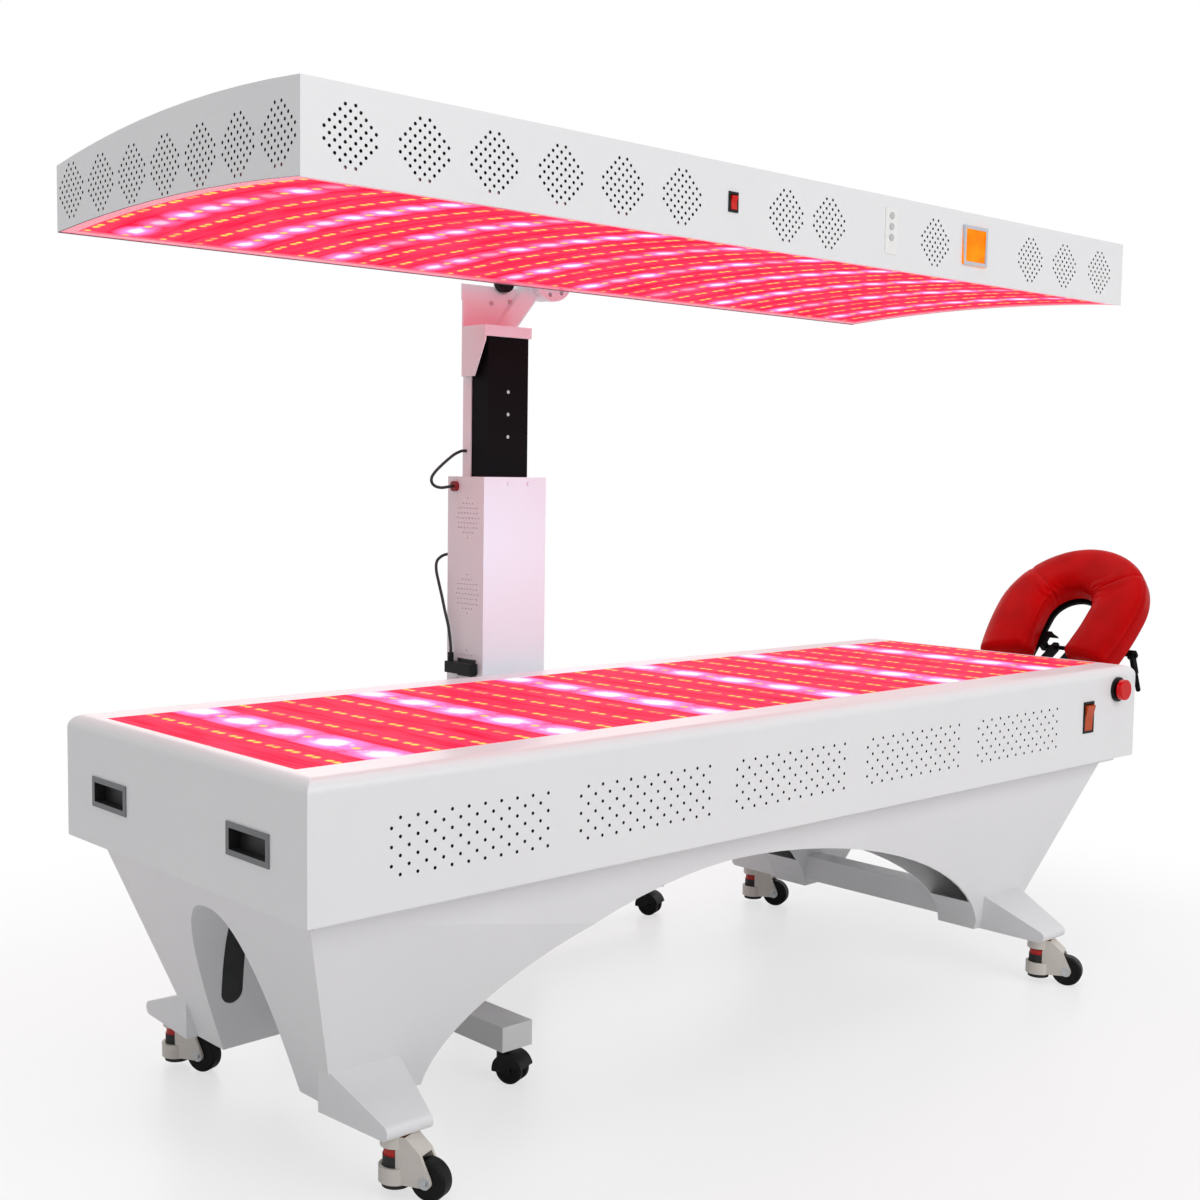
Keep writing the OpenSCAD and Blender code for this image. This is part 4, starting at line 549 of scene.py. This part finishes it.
def display_marks():
    points, faces = [], []
    wide, high, thick = 0.010, 0.011, 0.0024
    for k, digit in enumerate("20"):
        left = -0.015 + 0.017 * k
        for segment in DIGITS[digit]:
            i, j, flat = SEGMENTS[segment]
            if flat:
                bar(points, faces, left + thick, -0.008 + j * high, wide - thick, thick)
            else:
                bar(points, faces, left + i * wide, -0.008 + thick + j * high, thick, high - thick)
    for k in range(6):
        bar(points, faces, -0.022 + 0.0076 * k, -0.022, 0.0052, 0.004 + 0.0004 * k)
    return points, faces


piece("display_marks", *display_marks(), screen_mark, "canopy", smooth=False)


# Cables

def metres(points):
    return [Vector(p) * MM for p in points]


CABLE_R = 0.0029
power_path = curve_points(metres([
    (-118, 513, 800), (-118, 519, 800), (-118, 525, 800), (-121, 533, 799), (-131, 540, 795),
    (-143, 541, 785), (-150, 534, 768), (-153, 522, 745), (-154, 510, 718), (-154, 500, 690),
    (-152, 491, 660), (-151, 486, 632), (-151, 484, 618), (-151, 484, 609)]), 6)
canopy_path = curve_points(metres([
    (-138, 487, 934), (-144, 487, 934), (-150, 487, 934), (-162, 488, 932),
    (-174, 490, 931), (-185, 493, 934), (-192, 494, 941), (-192, 494, 951), (-184, 493, 962),
    (-172, 490, 974), (-158, 487, 986), (-144, 485, 996), (-130, 484, 1002), (-124, 484, 1003),
    (-116.5, 484, 1003)]), 6)

power_cord = piece("power_cord", *lofted(tube(power_path, CABLE_R)), cord_black, "stand", "cord")
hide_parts("power_cable")
canopy_cord = piece("canopy_cord", *lofted(tube(canopy_path, CABLE_R)), cord_black, None, "cord")
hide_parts("canopy_cable")
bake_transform(canopy_cord)


# Headrest cushion

TILT = Vector((1.290, 0, 0.568))
SLOPE = math.radians(46)
UP_SLOPE = Vector((math.cos(SLOPE), 0, math.sin(SLOPE)))
OUT = Vector((-math.sin(SLOPE), 0, math.cos(SLOPE)))
ACROSS = Vector((0, -1, 0))


def on_slope(x, y, z):
    return TILT + ACROSS * x + UP_SLOPE * y + OUT * z


RING_W = 0.126
RING_T = 0.065
RING_MID = 0.122
RING_TOP = 0.070
LEG_DROP = 0.145
TOE_IN = 0.018
CUSHION_BACK = 0.0213
RING_PATH = 2 * LEG_DROP + math.pi * RING_MID


def ring_place(s):
    d = s * RING_PATH
    e = RING_PATH - d
    if d < LEG_DROP:
        return Vector((RING_MID - TOE_IN * (1 - d / LEG_DROP) ** 2, RING_TOP - LEG_DROP + d))
    if e < LEG_DROP:
        return Vector((-RING_MID + TOE_IN * (1 - e / LEG_DROP) ** 2, RING_TOP - LEG_DROP + e))
    a = (d - LEG_DROP) / RING_MID
    return Vector((RING_MID * math.cos(a), RING_TOP + RING_MID * math.sin(a)))


def ring_out(s):
    t = (ring_place(min(s + 0.01, 1)) - ring_place(max(s - 0.01, 0))).normalized()
    return Vector((t.y, -t.x))


# Places of the cross seams round the ring, as shares of its middle line
CROSS_SEAMS = (0.33, 0.665)
SEAM_DEEP, SEAM_HALF = 0.0020, 0.0030
SWELL_HIGH, SWELL_AT, SWELL_HALF = 0.0005, 0.02, 0.013
FOLD_REACH, FOLD_PITCH = 0.045, 0.0046
PIPED_EDGES = (0.30, -0.62)
PINCH = 0.0022


def cushion_section(q, s):
    """Offsets of a section's point from the ring's middle line, outwards and up from the back."""
    c, n = math.cos(q), math.sin(q)
    half, high = RING_W / 2, RING_T / 2
    if n > 0:
        x = half * math.copysign(abs(c) ** 0.62, c)
        z = high * (1 + n ** 0.85)
    else:
        x = half * math.copysign(abs(c) ** 0.30, c)
        z = high * (1 - abs(n) ** 0.30)
    # The side band pulls in at its two piped edges
    pinch = 0.0
    for edge in PIPED_EDGES:
        near = (math.asin(max(-1, min(1, n))) - edge) / 0.07
        pinch += PINCH * math.exp(-near * near) * (1 if abs(c) > 0.2 else 0)
    x -= math.copysign(pinch, c)
    # Cross seams cut a groove over the crown, with fine folds that gather at the inner edge
    crown = max(0.0, n)
    inner = max(0.0, -c)
    for seam in CROSS_SEAMS:
        away = (s - seam) * RING_PATH
        groove = SEAM_DEEP * math.exp(-(away / SEAM_HALF) ** 2)
        swell = SWELL_HIGH * math.exp(-((abs(away) - SWELL_AT) / SWELL_HALF) ** 2)
        z -= (groove - swell) * min(1.0, 1.4 * (crown + 0.15))
        x -= math.copysign(groove * 0.6, c) * (1 - crown)
        near = math.exp(-(away / FOLD_REACH) ** 2)
        folds = math.sin(away / FOLD_PITCH + 1.7 * math.sin(5 * q) + 0.6 * c)
        z -= 0.0011 * near * folds * (0.25 + inner) * crown ** 0.5
        x += 0.0010 * near * folds * inner
    # Slow swells and a slight slack along the legs
    z += 0.0009 * math.sin(s * 23 + 2 * c) * crown
    z += 0.0007 * math.sin(s * 61 + 5 * c + 1.3) * crown * inner
    return x, z


END_ROUND = 0.018
END_SHARE = 0.72


def end_taper(s):
    """Share of the full section near the ring's two rounded ends."""
    d = min(s, 1 - s) * RING_PATH
    if d > END_ROUND:
        return 1.0
    return END_SHARE + (1 - END_SHARE) * math.sqrt(max(0.0, 1 - (1 - d / END_ROUND) ** 2))


def cushion_ring(s, sides=112):
    c, o, taper = ring_place(s), ring_out(s), end_taper(s)
    ring = []
    for k in range(sides):
        x, z = cushion_section(2 * math.pi * (k + 0.5) / sides, s)
        x *= taper
        z = RING_T / 2 + (z - RING_T / 2) * taper
        z += RING_T / 2 * (taper - 1)
        ring.append(on_slope(c.x + o.x * x, c.y + o.y * x, CUSHION_BACK + z))
    return ring


CUSHION_STEPS = 420
cushion = piece("headrest_pad",
                *lofted([cushion_ring(k / CUSHION_STEPS) for k in range(CUSHION_STEPS + 1)]),
                leather, "headrest", "cushion_red")
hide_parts("headrest_cushion")


def piping(name, q, lift=0.0006, radius=0.0014):
    """A thin corded edge along the cushion at one angle of its section."""
    path = []
    for k in range(221):
        s = 0.004 + 0.992 * k / 220
        c, o = ring_place(s), ring_out(s)
        x, z = cushion_section(q, s)
        x = math.copysign(abs(x) + lift, x) * end_taper(s)
        path.append(on_slope(c.x + o.x * x, c.y + o.y * x, CUSHION_BACK + z * end_taper(s)))
    made = piece(name, *lofted(tube(path, radius, 8)), leather, "headrest", "cushion_red")
    return made


piping("pad_piping_outer", 0.30)
piping("pad_piping_inner", math.pi - 0.30)


# Stage

def white_for_camera(tree, shader, out, strength=1.0):
    """Shows plain white to the camera and to reflections, and the shader to everything else."""
    path = tree.nodes.new("ShaderNodeLightPath")
    white = tree.nodes.new("ShaderNodeBackground")
    white.inputs["Color"].default_value = (1, 1, 1, 1)
    white.inputs["Strength"].default_value = strength
    rays = None
    for ray in ("Is Camera Ray", "Is Glossy Ray", "Is Transmission Ray"):
        if rays is None:
            rays = path.outputs[ray]
            continue
        both = tree.nodes.new("ShaderNodeMath")
        both.operation = "MAXIMUM"
        tree.links.new(rays, both.inputs[0])
        tree.links.new(path.outputs[ray], both.inputs[1])
        rays = both.outputs[0]
    mix = tree.nodes.new("ShaderNodeMixShader")
    tree.links.new(rays, mix.inputs[0])
    tree.links.new(shader, mix.inputs[1])
    tree.links.new(white.outputs[0], mix.inputs[2])
    tree.links.new(mix.outputs[0], out)


world = bpy.data.worlds.new("world")
bpy.context.scene.world = world
world.use_nodes = True
sky = world.node_tree.nodes["Background"]
sky.inputs["Color"].default_value = (0.98, 0.99, 1.0, 1)
sky.inputs["Strength"].default_value = 0.36
white_for_camera(world.node_tree, sky.outputs[0],
                 world.node_tree.nodes["World Output"].inputs["Surface"])


# The floor is plain from the second distance on, and keeps a share of its shade up to the first
FLOOR_FADE = (0.9, 1.9, 0.64, 1.0)


def floor_material():
    """Pale floor that keeps the shadows near the bed and fades into the white around it."""
    material = bpy.data.materials.new("floor")
    material.use_nodes = True
    tree = material.node_tree
    tree.nodes.clear()
    out = tree.nodes.new("ShaderNodeOutputMaterial")
    diffuse = tree.nodes.new("ShaderNodeBsdfPrincipled")
    diffuse.inputs["Base Color"].default_value = (0.86, 0.86, 0.86, 1)
    diffuse.inputs["Roughness"].default_value = 0.32
    glow = tree.nodes.new("ShaderNodeEmission")
    place = tree.nodes.new("ShaderNodeTexCoord")
    far = tree.nodes.new("ShaderNodeVectorMath")
    far.operation = "LENGTH"
    tree.links.new(place.outputs["Object"], far.inputs[0])
    fade = tree.nodes.new("ShaderNodeMapRange")
    fade.interpolation_type = "SMOOTHSTEP"
    for socket, value in zip(("From Min", "From Max", "To Min", "To Max"), FLOOR_FADE):
        fade.inputs[socket].default_value = value
    tree.links.new(far.outputs["Value"], fade.inputs["Value"])
    mix = tree.nodes.new("ShaderNodeMixShader")
    tree.links.new(fade.outputs[0], mix.inputs[0])
    tree.links.new(diffuse.outputs[0], mix.inputs[1])
    tree.links.new(glow.outputs[0], mix.inputs[2])
    path = tree.nodes.new("ShaderNodeLightPath")
    either = tree.nodes.new("ShaderNodeMixShader")
    tree.links.new(path.outputs["Is Camera Ray"], either.inputs[0])
    tree.links.new(diffuse.outputs[0], either.inputs[1])
    tree.links.new(mix.outputs[0], either.inputs[2])
    tree.links.new(either.outputs[0], out.inputs["Surface"])
    return material


FLOOR_R = 30
FLOOR_SIDES = 96
floor = piece("floor", [(FLOOR_R * math.cos(a), FLOOR_R * math.sin(a), 0)
                        for a in (2 * math.pi * k / FLOOR_SIDES for k in range(FLOOR_SIDES))],
              [tuple(range(FLOOR_SIDES))], floor_material(), None, smooth=False)


def softbox(name, at, towards, size, power, colour=(1, 1, 1)):
    data = bpy.data.lights.new(name, "AREA")
    data.shape = "RECTANGLE"
    data.size, data.size_y = size
    data.energy = power
    data.color = colour
    lamp = bpy.data.objects.new(name, data)
    bpy.context.scene.collection.objects.link(lamp)
    lamp.location = at
    lamp.rotation_mode = "QUATERNION"
    lamp.rotation_quaternion = (Vector(towards) - Vector(at)).to_track_quat("-Z", "Y")


softbox("key", (0.5, -5.0, 3.2), (0.2, 0, 0.7), (4.5, 3.0), 120)
softbox("fill", (-5.5, -1.0, 2.6), (-0.4, 0, 0.6), (3.0, 3.0), 19)
softbox("top", (0, 0.5, 5.0), (0, 0.2, 0), (5.0, 4.0), 96)
softbox("back", (2.5, 4.5, 3.0), (0, 0, 0.6), (4.0, 3.0), 45)
softbox("lamp glow", (-0.1, 0.02, 0.84), (-0.08, 0.5, 0.98), (0.5, 0.3), 0.85, (0.05, 0.8, 1.0))
